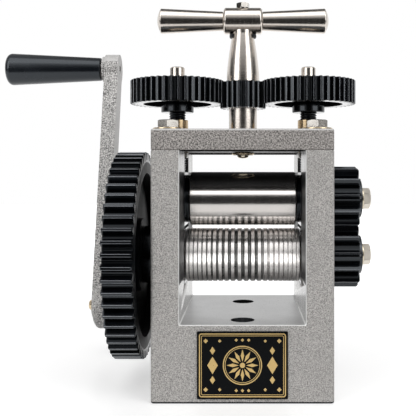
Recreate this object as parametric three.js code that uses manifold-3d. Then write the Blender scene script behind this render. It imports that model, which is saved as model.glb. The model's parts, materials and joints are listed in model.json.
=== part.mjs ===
// Jewellers rolling mill: a bench frame with two hardened rolls, turned by a geared hand crank.
// The upper roll rides in sliding blocks that a pair of geared screws and a T-handle set up and down.
// Units are millimetres. X runs along the rolls, Y away from the operator and Z up.
// The origin is the centre of the frame's underside.

import * as THREE from 'three';
import { mergeVertices } from 'three/addons/utils/BufferGeometryUtils.js';
import Module from 'manifold-3d';

const wasm = await Module();
wasm.setup();

// Clearances
const faceGap = 0.1; // between flat faces that are bolted or seated together
const pressGap = 0.25; // radial, between a pressed piece and its seat
const runGap = 0.3; // radial, between a turning piece and its bearing
const slideGap = 0.2; // each side of a sliding block
const holeGap = 0.3; // radial, between a fastener and its hole
const cutPast = 1; // how far a hole's cutting solid runs past the face it opens in

// Frame casting: a base with two uprights around an open window
const frameWidth = 118.5;
const frameDepth = 118;
const wallThickness = 18.5;
const baseHeight = 50.7;
const sillHeight = 19.3; // from the window's floor up to the slots' floor
const slotHeadroom = 14.1; // above the upper block, for its rise
const castingCornerRadius = 2.5;
const slotWidth = 35;
const benchHoleRadius = 8;
const frontBenchHoleInset = 17; // from the front face
const rearBenchHoleInset = 30; // from the rear face

// Top plate and its bolts
const plateThickness = 13.8;
const plateEdgeRound = 1.4;
const plateBoltInset = 21; // from the front and rear faces
const plateBoltGrip = 20; // the bolt's length below the plate
const plateWasherRadius = 10.2;
const plateWasherThickness = 1.6;

// Hexagon bolts of the one size that holds the plate and the gears
const boltRadius = 4;
const boltHeadAcrossFlats = 13;
const boltHeadHeight = 5.2;
const shaftBoltLength = 17;
const shaftWasherRadius = 8;
const shaftWasherThickness = 1.5;
const shaftInset = 0.5; // from a gear's nose to its shaft's end, so that the washer clamps the gear
const tappedHoleSpare = 3; // past the end of a bolt

// Rolls
const rollRadius = 19.2;
const rollGap = 1.8;
const lowerRollEndGap = 0.45; // from the roll's end to the upright
const upperRollEndGap = 3.2; // the same, filled by the upper block's boss
const rollEdgeChamfer = 0.6;
const journalRadius = 11;
const gearSeatRadius = 9.5;
const grooveCount = 21;
const smallestGroove = 0.8;
const largestGroove = 2.9;
const grooveDepthShare = 0.5; // of its width, which makes a right-angled V

// Bearing blocks and bushes
const bushWall = 2.4;
const blockGap = 2; // between an upper block and the lower one
const lowerBlockDrop = 19.8; // from the lower roll's axis to its block's underside
const upperBlockRise = 18.9; // from the upper roll's axis to the top of its block
const upperBossInset = 2.1; // from the upper roll's radius to its boss's
const springPocketRadius = 5.3;
const springPocketDepth = 3.2;
const springRadius = 4.9;
const springWire = 1.2;

// Synchronising gears on the right
const syncTeeth = 12;
const syncOpening = 1.2; // between the two pitch circles, so that the rolls can close
const syncAddendumShare = 1.14; // of the module: long teeth that stay in mesh as the upper roll lifts
const syncDedendumShare = 1.26;
const syncBacklash = 0.9;
const syncWidth = 20.3;
const syncStandoff = 2.75; // from the frame's side to the teeth
const syncNose = 2.3; // the hub's length outside the teeth
const syncToothAngle = 172.5; // of one tooth on the lower gear, in the plane across the rolls

// Teeth of the other gears, as shares of their module
const addendumShare = 1;
const dedendumShare = 1.25;

// Drive gear on the left and the crank's pinion
const driveTeeth = 56;
const pinionTeeth = 14;
const driveModule = 2.54;
const driveBacklash = 0.5;
const driveWidth = 20;
const driveStandoff = 9.75;
const driveToothAngle = 181;
const driveRimThickness = 9.5; // from the teeth's roots to the web
const driveWebDepth = 6;
const driveWebStepRadius = 26;
const driveWebStepDepth = 3;
const driveHubRadius = 20.5;
const driveCollarWall = 4;
const driveCollarLength = 4.6;
const driveNose = 2.3;
const pinionOverhang = 1; // past each face of the drive gear

// Keys
const keyWidth = 5;
const keyHeight = 5;
const keyGap = 0.15;
const keyCover = 2; // metal over a key in a hub
const keyInset = 3; // from a face to the end of the key behind it

// Crank
const crankLineAngle = -34; // degrees, from the lower roll's axis to the crank's, below the level
const crankTilt = THREE.MathUtils.degToRad(15.3);
const crankThrow = 208.9;
const crankShaftRadius = 8;
const crankShaftHeadRadius = 11;
const crankShaftHeadLength = 4;
const crankLugRadius = 17;
const crankLugInset = 11.75; // from the frame's side to the lug's inner face
const crankLugSink = 4; // of the lug's root into the casting's rear face
const crankEndFloat = 0.15; // between the pinion and the bush's flange
const crankBushFlangeRadius = 13;
const crankBushFlange = 1.2;
const armThickness = 12.1;
const armWidth = 21;
const armReach = 34; // from the drive gear's outer face to the arm's
const armEdgeRound = 1.6;
const armFootRadius = 19;
const armFootRound = 6.5;
const armHubCover = 3.5; // metal over the key in the arm's hub
const armHeadRadius = 13;
const armBossRadius = 11.3;
const armBossHeight = 2.7;
const armSocketWall = 5.6; // left outside the shaft's end
const crankBoltRadius = 3;
const crankBoltHeadRadius = 5.2;
const crankBoltHeadHeight = 2.8;
const crankBoltHeadRound = 2;
const crankBoltLength = 20;

// Crank grip and its spindle
const gripLength = 84;
const gripSmallRadius = 10.2;
const gripLargeRadius = 14.1;
const gripEndRound = 4.5;
const gripNeckRound = 0.9;
const gripEndWall = 14; // past the end of the spindle's bore
const spindleInset = 2; // from the bore's end to the spindle's
const spindleRadius = 4;
const spindleCollarRadius = 7;
const spindleCollar = 1.1;
const spindleHoleRadius = 3.5;
const spindleSeatDepth = 9; // of the spindle's tail in the arm

// Adjusting screws, their bushes and gears
const screwRadius = 6;
const screwFootStep = 1; // from the screw's radius to its foot's
const screwFootDepth = 2;
const screwGearTeeth = 43;
const centrePinionTeeth = 20;
const screwInset = 2.75; // from the middle of an upright towards the rolls
const screwBacklash = 0.3;
const threadBushWall = 1.4;
const threadBushDrop = 3.8; // below the plate
const threadBushRise = 9.6; // above the plate
const screwGearRise = 20.9; // from the plate's top to the teeth
const screwGearWidth = 16.8;
const screwGearHubRadius = 11.7;
const screwGearHubDrop = 6;
const screwGearRimThickness = 5.9; // from the teeth's roots to the recess
const screwGearRecess = 6;
const studRadius = 5.3;
const studRise = 10;
const studChamfer = 0.8;
const studFlangeRadius = 6.7;
const studFlange = 0.9;
const studShankRadius = 3;
const studShankLength = 12;
const screwTopInset = 1.5; // below the gear's top face

// T-handle
const centrePinionRise = 17.8; // from the plate's top to the teeth
const centrePinionWidth = 19;
const centrePinionWall = 3; // from the teeth's roots to the stem
const stemSpigotRadius = 6;
const stemSpigotLength = 6;
const stemShoulderStep = 1.6; // the shoulder's overhang on the stem
const stemNeckRadius = 7.6;
const stemStraight = 2.5;
const taperPower = 1.5; // above 1 the stem swells below its neck
const taperSteps = 4;
const handleRise = 81.1; // from the plate's top to the cross bar's axis
const hubRadius = 9.5;
const hubLength = 27.9;
const hubEdgeRound = 1.2;
const hubSocketDepth = 2.6;
const hubRingRadius = 9.65;
const hubRingHeight = 2.4;
const hubRingGap = 0.25;
const hubRingSlack = 1; // radial, between the ring and the stem's neck
const barLength = 47.9;
const barNeckRadius = 6.8;
const barEndRadius = 9;
const barEndRound = 6.3;
const barSpigotRadius = 4;
const barSpigotLength = 7.5;
const hubScrewRadius = 2.5;
const hubScrewHead = 8.3;
const hubScrewHeadHeight = 3.9;
const hubScrewGrip = 6; // the screw's length past the hub
const hubScrewSeat = 0.4; // depth of the flat under its head
const retainerRadius = 8.1;
const retainerThickness = 1.8;
const retainerScrewRadius = 2.5;
const retainerHeadRadius = 5;
const retainerHeadHeight = 2.6;
const retainerScrewLength = 13;

// Label plate
const labelWidth = 58.4;
const labelHeight = 43.5;
const labelBottom = 3.3;
const labelThickness = 0.8;

// Facets around turned pieces
const fineRound = 28;
const mediumRound = 20;
const ringRound = 16;
const smallRound = 12;
const grooveRound = 16;

// Tooth counts: a gear with more teeth than the first has straight flanks, and one with fewer than the
// second runs straight down from its base circle to its root
const straightFlankTeeth = 30;
const radialRootTeeth = 16;

// Places that follow from the sizes above
const halfWidth = frameWidth / 2;
const halfDepth = frameDepth / 2;
const halfWindow = halfWidth - wallThickness;
const wallCentre = halfWindow + wallThickness / 2;
const rollSpacing = 2 * rollRadius + rollGap;
const blockReach = (rollSpacing - blockGap) / 2; // from a roll's axis to its block's facing side
const slotFloorHeight = baseHeight + sillHeight;
const lowerRollHeight = slotFloorHeight + faceGap + lowerBlockDrop;
const upperRollHeight = lowerRollHeight + rollSpacing;
const upperRollHalf = halfWindow - upperRollEndGap;
const castingHeight = upperRollHeight + upperBlockRise + slotHeadroom;
const bushInner = journalRadius + runGap;
const bushOuter = bushInner + bushWall;
const plateBottom = castingHeight + faceGap;
const plateTop = plateBottom + plateThickness;
const plateBoltY = halfDepth - plateBoltInset;
const driveCentres = ((driveTeeth + pinionTeeth) * driveModule) / 2;
const crankAxisY = driveCentres * Math.cos(THREE.MathUtils.degToRad(crankLineAngle));
const crankAxisHeight = lowerRollHeight + driveCentres * Math.sin(THREE.MathUtils.degToRad(crankLineAngle));
const screwX = wallCentre - screwInset;
const screwModule = (2 * screwX) / (screwGearTeeth + centrePinionTeeth);
const syncModule = (rollSpacing - syncOpening) / syncTeeth;
const driveInnerX = -halfWidth - driveStandoff;
const driveOuterX = driveInnerX - driveWidth;
const syncInnerX = halfWidth + syncStandoff;
const syncOuterX = syncInnerX + syncWidth;
const journalEndX = halfWidth + holeGap;
const boltHoleRadius = boltRadius + holeGap;
const shaftBoltDepth = shaftBoltLength + tappedHoleSpare;
const keyTop = gearSeatRadius + keyHeight / 2;
const crankBushInner = crankShaftRadius + runGap;
const crankBushOuter = crankBushInner + bushWall;
const crankPinionInner = driveInnerX + pinionOverhang;
const crankPinionOuter = driveOuterX - pinionOverhang;
const bushFlangeX = crankPinionInner + crankEndFloat;
const lugOuterX = bushFlangeX + crankBushFlange + faceGap;
const lugInnerX = -halfWidth + crankLugInset;
const threadBushRadius = screwRadius + runGap + threadBushWall;
const pinionRootRadius = screwModule * (centrePinionTeeth / 2 - dedendumShare);
const stemRadius = pinionRootRadius - centrePinionWall;
const stemShoulderRadius = stemRadius + stemShoulderStep;
const hubScrewLength = 2 * hubRadius + hubScrewGrip;

// Materials
function paint(color, roughness, metalness) {
  return new THREE.MeshStandardMaterial({ color, roughness, metalness });
}

const materials = {
  cast: paint(0x94918c, 0.7, 0.2),
  black: paint(0x15171a, 0.4, 0.6),
  polished: paint(0xd6d2cd, 0.15, 1),
  bronze: paint(0xb08a4e, 0.35, 1),
  fastener: paint(0xd8c9ac, 0.25, 1),
  rubber: paint(0x0c0c0d, 0.6, 0),
  grip: paint(0x17191c, 0.35, 0),
  label: paint(0x0b0b0c, 0.3, 0),
};

// A closed three.js geometry as a solid, with its faces turned outwards
function toSolid(geometry) {
  const bare = new THREE.BufferGeometry();
  bare.setAttribute('position', geometry.getAttribute('position'));
  if (geometry.index) bare.setIndex(geometry.index);
  const merged = mergeVertices(bare, 1e-4);
  const place = merged.getAttribute('position');
  const corners = merged.index.array;
  const triangles = [];
  const [a, b, c] = [new THREE.Vector3(), new THREE.Vector3(), new THREE.Vector3()];
  let volume = 0;
  for (let i = 0; i < corners.length; i += 3) {
    const [p, q, r] = [corners[i], corners[i + 1], corners[i + 2]];
    if (p === q || q === r || r === p) continue;
    triangles.push(p, q, r);
    a.fromBufferAttribute(place, p);
    b.fromBufferAttribute(place, q);
    c.fromBufferAttribute(place, r);
    volume += a.dot(b.cross(c));
  }
  if (volume < 0) triangles.reverse();
  const mesh = new wasm.Mesh({
    numProp: 3,
    vertProperties: Float32Array.from(place.array),
    triVerts: Uint32Array.from(triangles),
  });
  return new wasm.Manifold(mesh);
}

function toGeometry(solid) {
  const mesh = solid.getMesh();
  const geometry = new THREE.BufferGeometry();
  geometry.setAttribute('position', new THREE.BufferAttribute(Float32Array.from(mesh.vertProperties), 3));
  geometry.setIndex(Array.from(mesh.triVerts));
  return geometry;
}

const join = (first, ...others) => others.reduce((whole, piece) => whole.add(piece), first);
const cut = (first, ...others) => others.reduce((whole, piece) => whole.subtract(piece), first);

// A box given by its lowest and highest corners
function box(low, high) {
  const size = high.map((value, i) => value - low[i]);
  const geometry = new THREE.BoxGeometry(...size);
  geometry.translate(...high.map((value, i) => (value + low[i]) / 2));
  return toSolid(geometry);
}

const axisTurns = {
  x: new THREE.Matrix4().makeRotationZ(-Math.PI / 2),
  y: new THREE.Matrix4(),
  z: new THREE.Matrix4().makeRotationX(Math.PI / 2),
};

// A turned piece: profile points are [place along the axis, radius]
function turned(axis, profile, facets) {
  const points = profile.map(([along, radius]) => new THREE.Vector2(radius, along));
  const geometry = new THREE.LatheGeometry(points, facets);
  geometry.applyMatrix4(axisTurns[axis]);
  return toSolid(geometry);
}

function rod(axis, from, to, radius, facets) {
  return turned(axis, [[from, 0], [from, radius], [to, radius], [to, 0]], facets);
}

function tube(axis, from, to, inner, outer, facets) {
  return turned(axis, [[from, inner], [from, outer], [to, outer], [to, inner], [from, inner]], facets);
}

// Points of a quarter round between two profile points, seen from the arc's centre
function roundEdge(centreAlong, centreRadius, size, startAngle, endAngle, steps) {
  const points = [];
  for (let i = 0; i <= steps; i += 1) {
    const angle = startAngle + ((endAngle - startAngle) * i) / steps;
    points.push([centreAlong + size * Math.sin(angle), centreRadius + size * Math.cos(angle)]);
  }
  return points;
}

// An outline in the plane across an axis, extruded along that axis from one place to another
const acrossAxis = {
  x: new THREE.Matrix4().makeBasis(
    new THREE.Vector3(0, 1, 0), new THREE.Vector3(0, 0, 1), new THREE.Vector3(1, 0, 0)),
  z: new THREE.Matrix4(),
};

function extruded(axis, shape, from, to, bevel = 0, curveSegments = 8) {
  const geometry = new THREE.ExtrudeGeometry(shape, {
    depth: to - from - 2 * bevel,
    bevelEnabled: bevel > 0,
    bevelThickness: bevel,
    bevelSize: bevel,
    bevelOffset: -bevel,
    bevelSegments: 1,
    curveSegments,
  });
  geometry.translate(0, 0, from + bevel);
  geometry.applyMatrix4(acrossAxis[axis]);
  return toSolid(geometry);
}

function roundedRectangle(width, depth, radius) {
  const [x, y] = [width / 2, depth / 2];
  const shape = new THREE.Shape();
  shape.absarc(x - radius, -y + radius, radius, -Math.PI / 2, 0);
  shape.absarc(x - radius, y - radius, radius, 0, Math.PI / 2);
  shape.absarc(-x + radius, y - radius, radius, Math.PI / 2, Math.PI);
  shape.absarc(-x + radius, -y + radius, radius, Math.PI, Math.PI * 1.5);
  return shape;
}

function hexagon(acrossFlats) {
  const reach = acrossFlats / Math.sqrt(3);
  const corners = [0, 1, 2, 3, 4, 5].map((k) => {
    const angle = (k * Math.PI) / 3;
    return new THREE.Vector2(reach * Math.cos(angle), reach * Math.sin(angle));
  });
  return new THREE.Shape(corners);
}

// Involute gear outline. Angles run from the plane's first axis, and one tooth's middle is at toothAngle.
function gearOutline({ teeth, module, addendum, dedendum, backlash, toothAngle }) {
  const pressure = THREE.MathUtils.degToRad(20);
  const pitchRadius = (teeth * module) / 2;
  const baseRadius = pitchRadius * Math.cos(pressure);
  const rootRadius = pitchRadius - dedendum;
  const tipRadius = pitchRadius + addendum;
  const involute = (angle) => Math.tan(angle) - angle;
  const pitchHalfAngle = (Math.PI / 2 - backlash / module / 2) / teeth;
  const halfAngle = (radius) => {
    const local = Math.acos(Math.min(1, baseRadius / radius));
    return pitchHalfAngle + involute(pressure) - involute(local);
  };
  const radii = [rootRadius, tipRadius];
  if (teeth < straightFlankTeeth) radii.splice(1, 0, pitchRadius);
  if (teeth < radialRootTeeth) radii.splice(1, 0, baseRadius);
  const flank = radii.map((radius) => [radius, halfAngle(radius)]);
  const tooth = [
    ...flank.map(([radius, angle]) => [radius, -angle]),
    ...flank.reverse(),
  ];
  const points = [];
  for (let k = 0; k < teeth; k += 1) {
    const middle = THREE.MathUtils.degToRad(toothAngle) + (2 * Math.PI * k) / teeth;
    for (const [radius, offset] of tooth) {
      const angle = middle + offset;
      points.push(new THREE.Vector2(radius * Math.cos(angle), radius * Math.sin(angle)));
    }
  }
  return new THREE.Shape(points);
}

// The tooth angle that puts a gear in mesh with another one, whose centre lies back along lineAngle
function meshingToothAngle(otherToothAngle, otherTeeth, teeth, lineAngle) {
  const offset = otherToothAngle - lineAngle;
  return lineAngle + 180 + 180 / teeth - (offset * otherTeeth) / teeth;
}

const mill = new THREE.Group();

function subGroup(parent, x, y, z, tilt = 0) {
  const group = new THREE.Group();
  group.position.set(x, y, z);
  group.rotation.x = tilt;
  parent.add(group);
  return group;
}

function place(name, solid, material, parent, position = [0, 0, 0], turnAboutZ = 0) {
  const mesh = new THREE.Mesh(toGeometry(solid), material);
  mesh.name = name;
  mesh.position.set(...position);
  mesh.rotation.z = turnAboutZ;
  parent.add(mesh);
}

// A hexagon bolt along Z, with its head's underside at 0 and its shank below
function hexBolt(acrossFlats, headHeight, shankRadius, shankLength) {
  const head = extruded('z', hexagon(acrossFlats), 0, headHeight);
  return join(head, rod('z', -shankLength, 0, shankRadius, smallRound));
}

// The same bolt along X, its head facing outwards in the direction of side
function hexBoltAlongX(side) {
  const turn = side > 0 ? [0, 90, 0] : [0, -90, 0];
  return hexBolt(boltHeadAcrossFlats, boltHeadHeight, boltRadius, shaftBoltLength).rotate(turn);
}

// Frame casting
function frameCasting() {
  const outline = roundedRectangle(frameWidth, frameDepth, castingCornerRadius);
  const blank = extruded('z', outline, 0, castingHeight, 0, 3);
  const window = box(
    [-halfWindow, -halfDepth - cutPast, baseHeight],
    [halfWindow, halfDepth + cutPast, castingHeight + cutPast]);
  const slots = box(
    [-halfWidth - cutPast, -slotWidth / 2, slotFloorHeight],
    [halfWidth + cutPast, slotWidth / 2, castingHeight + cutPast]);
  const benchHoles = [-halfDepth + frontBenchHoleInset, halfDepth - rearBenchHoleInset].map((y) => (
    rod('z', -cutPast, baseHeight + cutPast, benchHoleRadius, ringRound).translate([0, y, 0])));
  const boltDepth = plateBoltGrip + tappedHoleSpare;
  const boltHoles = [];
  for (const x of [-wallCentre, wallCentre]) {
    for (const y of [-plateBoltY, plateBoltY]) {
      const hole = rod('z', castingHeight - boltDepth, castingHeight + cutPast, boltHoleRadius, smallRound);
      boltHoles.push(hole.translate([x, y, 0]));
    }
  }
  const lugShape = new THREE.Shape();
  lugShape.moveTo(halfDepth - crankLugSink, crankAxisHeight - crankLugRadius);
  lugShape.absarc(crankAxisY, crankAxisHeight, crankLugRadius, -Math.PI / 2, Math.PI / 2);
  lugShape.lineTo(halfDepth - crankLugSink, crankAxisHeight + crankLugRadius);
  const lug = extruded('x', lugShape, lugOuterX, lugInnerX, 0, 12);
  const shaftHeadEnd = lugInnerX + crankShaftHeadLength + cutPast;
  const lugBore = join(
    rod('x', lugOuterX - cutPast, lugInnerX, crankBushOuter + pressGap, mediumRound),
    rod('x', lugInnerX, shaftHeadEnd, crankShaftHeadRadius + runGap, mediumRound),
  ).translate([0, crankAxisY, crankAxisHeight]);
  return cut(join(cut(blank, window, slots), lug), lugBore, ...benchHoles, ...boltHoles);
}

place('frame_casting', frameCasting(), materials.cast, mill);

// Top plate: it closes the slots and carries both thread bushes and the T-handle
function topPlate() {
  const blank = extruded(
    'z', roundedRectangle(frameWidth, frameDepth, castingCornerRadius), 0, plateThickness, plateEdgeRound, 2);
  const through = (radius, x, y) => (
    rod('z', -cutPast, plateThickness + cutPast, radius, ringRound).translate([x, y, 0]));
  const holes = [through(stemSpigotRadius + runGap, 0, 0)];
  const shoulder = rod('z', stemSpigotLength, plateThickness + cutPast, stemRadius + runGap, mediumRound);
  for (const side of [-1, 1]) {
    holes.push(through(threadBushRadius + pressGap, side * screwX, 0));
    holes.push(through(boltHoleRadius, side * wallCentre, -plateBoltY));
    holes.push(through(boltHoleRadius, side * wallCentre, plateBoltY));
  }
  return cut(blank, shoulder, ...holes);
}

place('top_plate', topPlate(), materials.cast, mill, [0, 0, plateBottom]);

const sides = { left: -1, right: 1 };
const depths = { front: -1, rear: 1 };

for (const [depthName, depth] of Object.entries(depths)) {
  for (const [sideName, side] of Object.entries(sides)) {
    const [x, y] = [side * wallCentre, depth * plateBoltY];
    const washer = tube('z', 0, plateWasherThickness, boltHoleRadius, plateWasherRadius, ringRound);
    const bolt = hexBolt(
      boltHeadAcrossFlats, boltHeadHeight, boltRadius, plateBoltGrip + plateThickness);
    const washerBase = plateTop + faceGap;
    const boltBase = washerBase + plateWasherThickness + faceGap;
    const end = `${depthName}_${sideName}`;
    place(`plate_washer_${end}`, washer, materials.fastener, mill, [x, y, washerBase]);
    place(`plate_bolt_${end}`, bolt, materials.fastener, mill, [x, y, boltBase], Math.PI / 2);
  }
}

// Label plate on the front of the base
const labelPlate = box(
  [-labelWidth / 2, -halfDepth - faceGap - labelThickness, labelBottom],
  [labelWidth / 2, -halfDepth - faceGap, labelBottom + labelHeight]);
place('label_plate', labelPlate, materials.label, mill);

// Bearing blocks. Each is drawn for the right upright, with its roll's axis at the origin.
const screwFootRadius = screwRadius - screwFootStep;
const blockBoss = upperRollEndGap - holeGap;

function blockBody(below, above) {
  const halfBlock = slotWidth / 2 - slideGap;
  return box([-wallThickness / 2, -halfBlock, -below], [wallThickness / 2, halfBlock, above]);
}

function lowerBlock() {
  const body = blockBody(lowerRollHeight - slotFloorHeight - faceGap, blockReach);
  const bore = rod('x', -wallThickness, wallThickness, bushOuter + pressGap, ringRound);
  const pocketFloor = blockReach - springPocketDepth;
  const pocket = rod('z', pocketFloor, blockReach + cutPast, springPocketRadius, smallRound);
  return cut(body, bore, pocket);
}

function upperBlock() {
  const bossEnd = -wallThickness / 2 - blockBoss;
  const boss = rod('x', bossEnd, 0, rollRadius - upperBossInset, mediumRound);
  const bore = rod('x', bossEnd - cutPast, wallThickness, bushOuter + pressGap, ringRound);
  const pocketCeiling = -blockReach + springPocketDepth;
  const pocket = rod('z', -blockReach - cutPast, pocketCeiling, springPocketRadius, smallRound);
  const socketFloor = upperBlockRise - screwFootDepth - holeGap;
  const socket = rod('z', socketFloor, upperBlockRise + cutPast, screwFootRadius + holeGap, smallRound)
    .translate([-screwInset, 0, 0]);
  return cut(join(blockBody(blockReach, upperBlockRise), boss), bore, pocket, socket);
}

const halfWall = wallThickness / 2;
const lowerBush = () => tube('x', -halfWall, halfWall, bushInner, bushOuter, ringRound);
const upperBush = () => tube('x', -halfWall - blockBoss, halfWall, bushInner, bushOuter, ringRound);

for (const [sideName, side] of Object.entries(sides)) {
  const turn = side > 0 ? 0 : Math.PI;
  const lowerPlace = [side * wallCentre, 0, lowerRollHeight];
  const upperPlace = [side * wallCentre, 0, upperRollHeight];
  place(`lower_${sideName}_block`, lowerBlock(), materials.black, mill, lowerPlace, turn);
  place(`lower_${sideName}_bush`, lowerBush(), materials.bronze, mill, lowerPlace, turn);
  place(`upper_${sideName}_block`, upperBlock(), materials.black, mill, upperPlace, turn);
  place(`upper_${sideName}_bush`, upperBush(), materials.bronze, mill, upperPlace, turn);
}

// Lift springs: each stands in the lower block's pocket and holds the upper block up
const springFloor = lowerRollHeight + blockReach - springPocketDepth + faceGap;
const springCeiling = upperRollHeight - blockReach + springPocketDepth - faceGap;

for (const [sideName, side] of Object.entries(sides)) {
  const springInner = springRadius - springWire;
  const spring = tube('z', 0, springCeiling - springFloor, springInner, springRadius, smallRound);
  place(`${sideName}_lift_spring`, spring, materials.polished, mill, [side * wallCentre, 0, springFloor]);
}

// Keys and the keyways that hold them, above the shaft they lock
function keyBar(from, to, shaftRadius) {
  return box(
    [from, -keyWidth / 2, shaftRadius - keyHeight / 2],
    [to, keyWidth / 2, shaftRadius + keyHeight / 2]);
}

function keyway(from, to, shaftRadius) {
  return box(
    [from, -keyWidth / 2 - keyGap, shaftRadius - keyHeight / 2 - keyGap],
    [to, keyWidth / 2 + keyGap, shaftRadius + keyHeight / 2 + keyGap]);
}

// Rolls. Grooves widen towards the middle of the lower roll.
function grooveProfile(halfLength) {
  const widths = [];
  for (let k = 0; k < grooveCount; k += 1) {
    const swell = Math.sin((Math.PI * (k + 0.5)) / grooveCount) ** 2;
    widths.push(smallestGroove + (largestGroove - smallestGroove) * swell);
  }
  const land = (2 * halfLength - widths.reduce((sum, width) => sum + width, 0)) / (grooveCount + 1);
  const points = [];
  let x = -halfLength + land;
  for (const width of widths) {
    const floorRadius = rollRadius - width * grooveDepthShare;
    points.push([x, rollRadius], [x + width / 2, floorRadius], [x + width, rollRadius]);
    x += width + land;
  }
  return points;
}

// A roll from its left shaft end to its right one, with a tapped hole in each end that takes a gear bolt
function rollProfile({ halfLength, bodyPoints, leftEnd, rightEnd, leftGearSeat }) {
  const gearSeat = [
    [leftEnd + shaftBoltDepth, 0],
    [leftEnd + shaftBoltDepth, boltHoleRadius],
    [leftEnd, boltHoleRadius],
    [leftEnd, gearSeatRadius],
    [-journalEndX, gearSeatRadius],
    [-journalEndX, journalRadius],
  ];
  const plainEnd = [[leftEnd, 0], [leftEnd, journalRadius]];
  return [
    ...(leftGearSeat ? gearSeat : plainEnd),
    [-halfLength, journalRadius],
    [-halfLength, rollRadius - rollEdgeChamfer],
    [-halfLength + rollEdgeChamfer, rollRadius],
    ...bodyPoints,
    [halfLength - rollEdgeChamfer, rollRadius],
    [halfLength, rollRadius - rollEdgeChamfer],
    [halfLength, journalRadius],
    [journalEndX, journalRadius],
    [journalEndX, gearSeatRadius],
    [rightEnd, gearSeatRadius],
    [rightEnd, boltHoleRadius],
    [rightEnd - shaftBoltDepth, boltHoleRadius],
    [rightEnd - shaftBoltDepth, 0],
  ];
}

const syncShaftEnd = syncOuterX + syncNose - shaftInset;
const driveShaftEnd = driveOuterX - driveNose + shaftInset;
const syncKeyStart = syncInnerX + keyInset;
const syncKeyEnd = syncOuterX - keyInset;
const driveKeyStart = driveOuterX + keyInset;
const driveKeyEnd = driveInnerX - keyInset;

const lowerRoll = subGroup(mill, 0, 0, lowerRollHeight);
const lowerHalf = halfWindow - lowerRollEndGap;
const lowerRoller = cut(
  turned('x', rollProfile({
    halfLength: lowerHalf,
    bodyPoints: grooveProfile(lowerHalf),
    leftEnd: driveShaftEnd,
    rightEnd: syncShaftEnd,
    leftGearSeat: true,
  }), grooveRound),
  keyway(driveKeyStart - keyGap, driveKeyEnd + keyGap, gearSeatRadius),
  keyway(syncKeyStart - keyGap, syncKeyEnd + keyGap, gearSeatRadius));
place('lower_roller', lowerRoller, materials.polished, lowerRoll);

const upperRoll = subGroup(mill, 0, 0, upperRollHeight);
const upperRoller = cut(
  turned('x', rollProfile({
    halfLength: upperRollHalf,
    bodyPoints: [],
    leftEnd: -halfWidth,
    rightEnd: syncShaftEnd,
    leftGearSeat: false,
  }), mediumRound),
  keyway(syncKeyStart - keyGap, syncKeyEnd + keyGap, gearSeatRadius));
place('upper_roller', upperRoller, materials.polished, upperRoll);

// Synchronising gears: two alike, in mesh one above the other
const syncSpec = {
  teeth: syncTeeth,
  module: syncModule,
  addendum: syncModule * syncAddendumShare,
  dedendum: syncModule * syncDedendumShare,
  backlash: syncBacklash,
};

function syncGear(toothAngle) {
  const teeth = extruded('x', gearOutline({ ...syncSpec, toothAngle }), syncInnerX, syncOuterX);
  const noseX = syncOuterX + syncNose;
  const hub = rod('x', journalEndX, noseX, keyTop + keyCover, mediumRound);
  const bore = rod('x', journalEndX - cutPast, noseX + cutPast, gearSeatRadius + pressGap, mediumRound);
  return cut(join(teeth, hub), bore, keyway(syncKeyStart - keyGap, syncKeyEnd + keyGap, gearSeatRadius));
}

// The washer and bolt on a shaft end, outside a gear's nose
function shaftFastener(prefix, side, noseX, parent) {
  const washerX = noseX + side * faceGap;
  const outerX = washerX + side * shaftWasherThickness;
  const washer = tube(
    'x', Math.min(washerX, outerX), Math.max(washerX, outerX), boltHoleRadius, shaftWasherRadius, ringRound);
  place(`${prefix}_washer`, washer, materials.fastener, parent);
  place(`${prefix}_bolt`, hexBoltAlongX(side), materials.fastener, parent, [outerX + side * faceGap, 0, 0]);
}

const upperSyncAngle = meshingToothAngle(syncToothAngle, syncTeeth, syncTeeth, 90);
const syncKeyBar = () => keyBar(syncKeyStart, syncKeyEnd, gearSeatRadius);
place('lower_sync_gear', syncGear(syncToothAngle), materials.black, lowerRoll);
place('upper_sync_gear', syncGear(upperSyncAngle), materials.black, upperRoll);
place('lower_sync_key', syncKeyBar(), materials.polished, lowerRoll);
place('upper_sync_key', syncKeyBar(), materials.polished, upperRoll);
shaftFastener('lower_sync', 1, syncOuterX + syncNose, lowerRoll);
shaftFastener('upper_sync', 1, syncOuterX + syncNose, upperRoll);

// Drive gear on the lower roll's left end
const driveSpec = {
  module: driveModule,
  addendum: driveModule * addendumShare,
  dedendum: driveModule * dedendumShare,
  backlash: driveBacklash,
};

function driveGear() {
  const outline = gearOutline({ ...driveSpec, teeth: driveTeeth, toothAngle: driveToothAngle });
  const teeth = extruded('x', outline, driveOuterX, driveInnerX);
  const rimInner = (driveTeeth * driveModule) / 2 - driveSpec.dedendum - driveRimThickness;
  const recess = (from, to) => tube('x', from, to, driveWebStepRadius, rimInner, fineRound);
  const recessInner = recess(driveInnerX - driveWebDepth, driveInnerX + cutPast);
  const recessOuter = recess(driveOuterX - cutPast, driveOuterX + driveWebDepth);
  const stepX = driveInnerX - driveWebStepDepth;
  const stepInner = tube(
    'x', stepX, driveInnerX + cutPast, driveHubRadius, driveWebStepRadius + cutPast, fineRound);
  const hubEnd = -journalEndX - driveCollarLength;
  const hub = rod('x', driveOuterX - driveNose, hubEnd, driveHubRadius, fineRound);
  const collarRadius = gearSeatRadius + driveCollarWall;
  const collar = rod('x', driveInnerX, -journalEndX, collarRadius, mediumRound);
  const boreRadius = gearSeatRadius + pressGap;
  const bore = rod('x', driveOuterX - driveNose - cutPast, -journalEndX + cutPast, boreRadius, mediumRound);
  const slot = keyway(driveKeyStart - keyGap, driveKeyEnd + keyGap, gearSeatRadius);
  return cut(join(cut(teeth, recessInner, recessOuter, stepInner), hub, collar), bore, slot);
}

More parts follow.
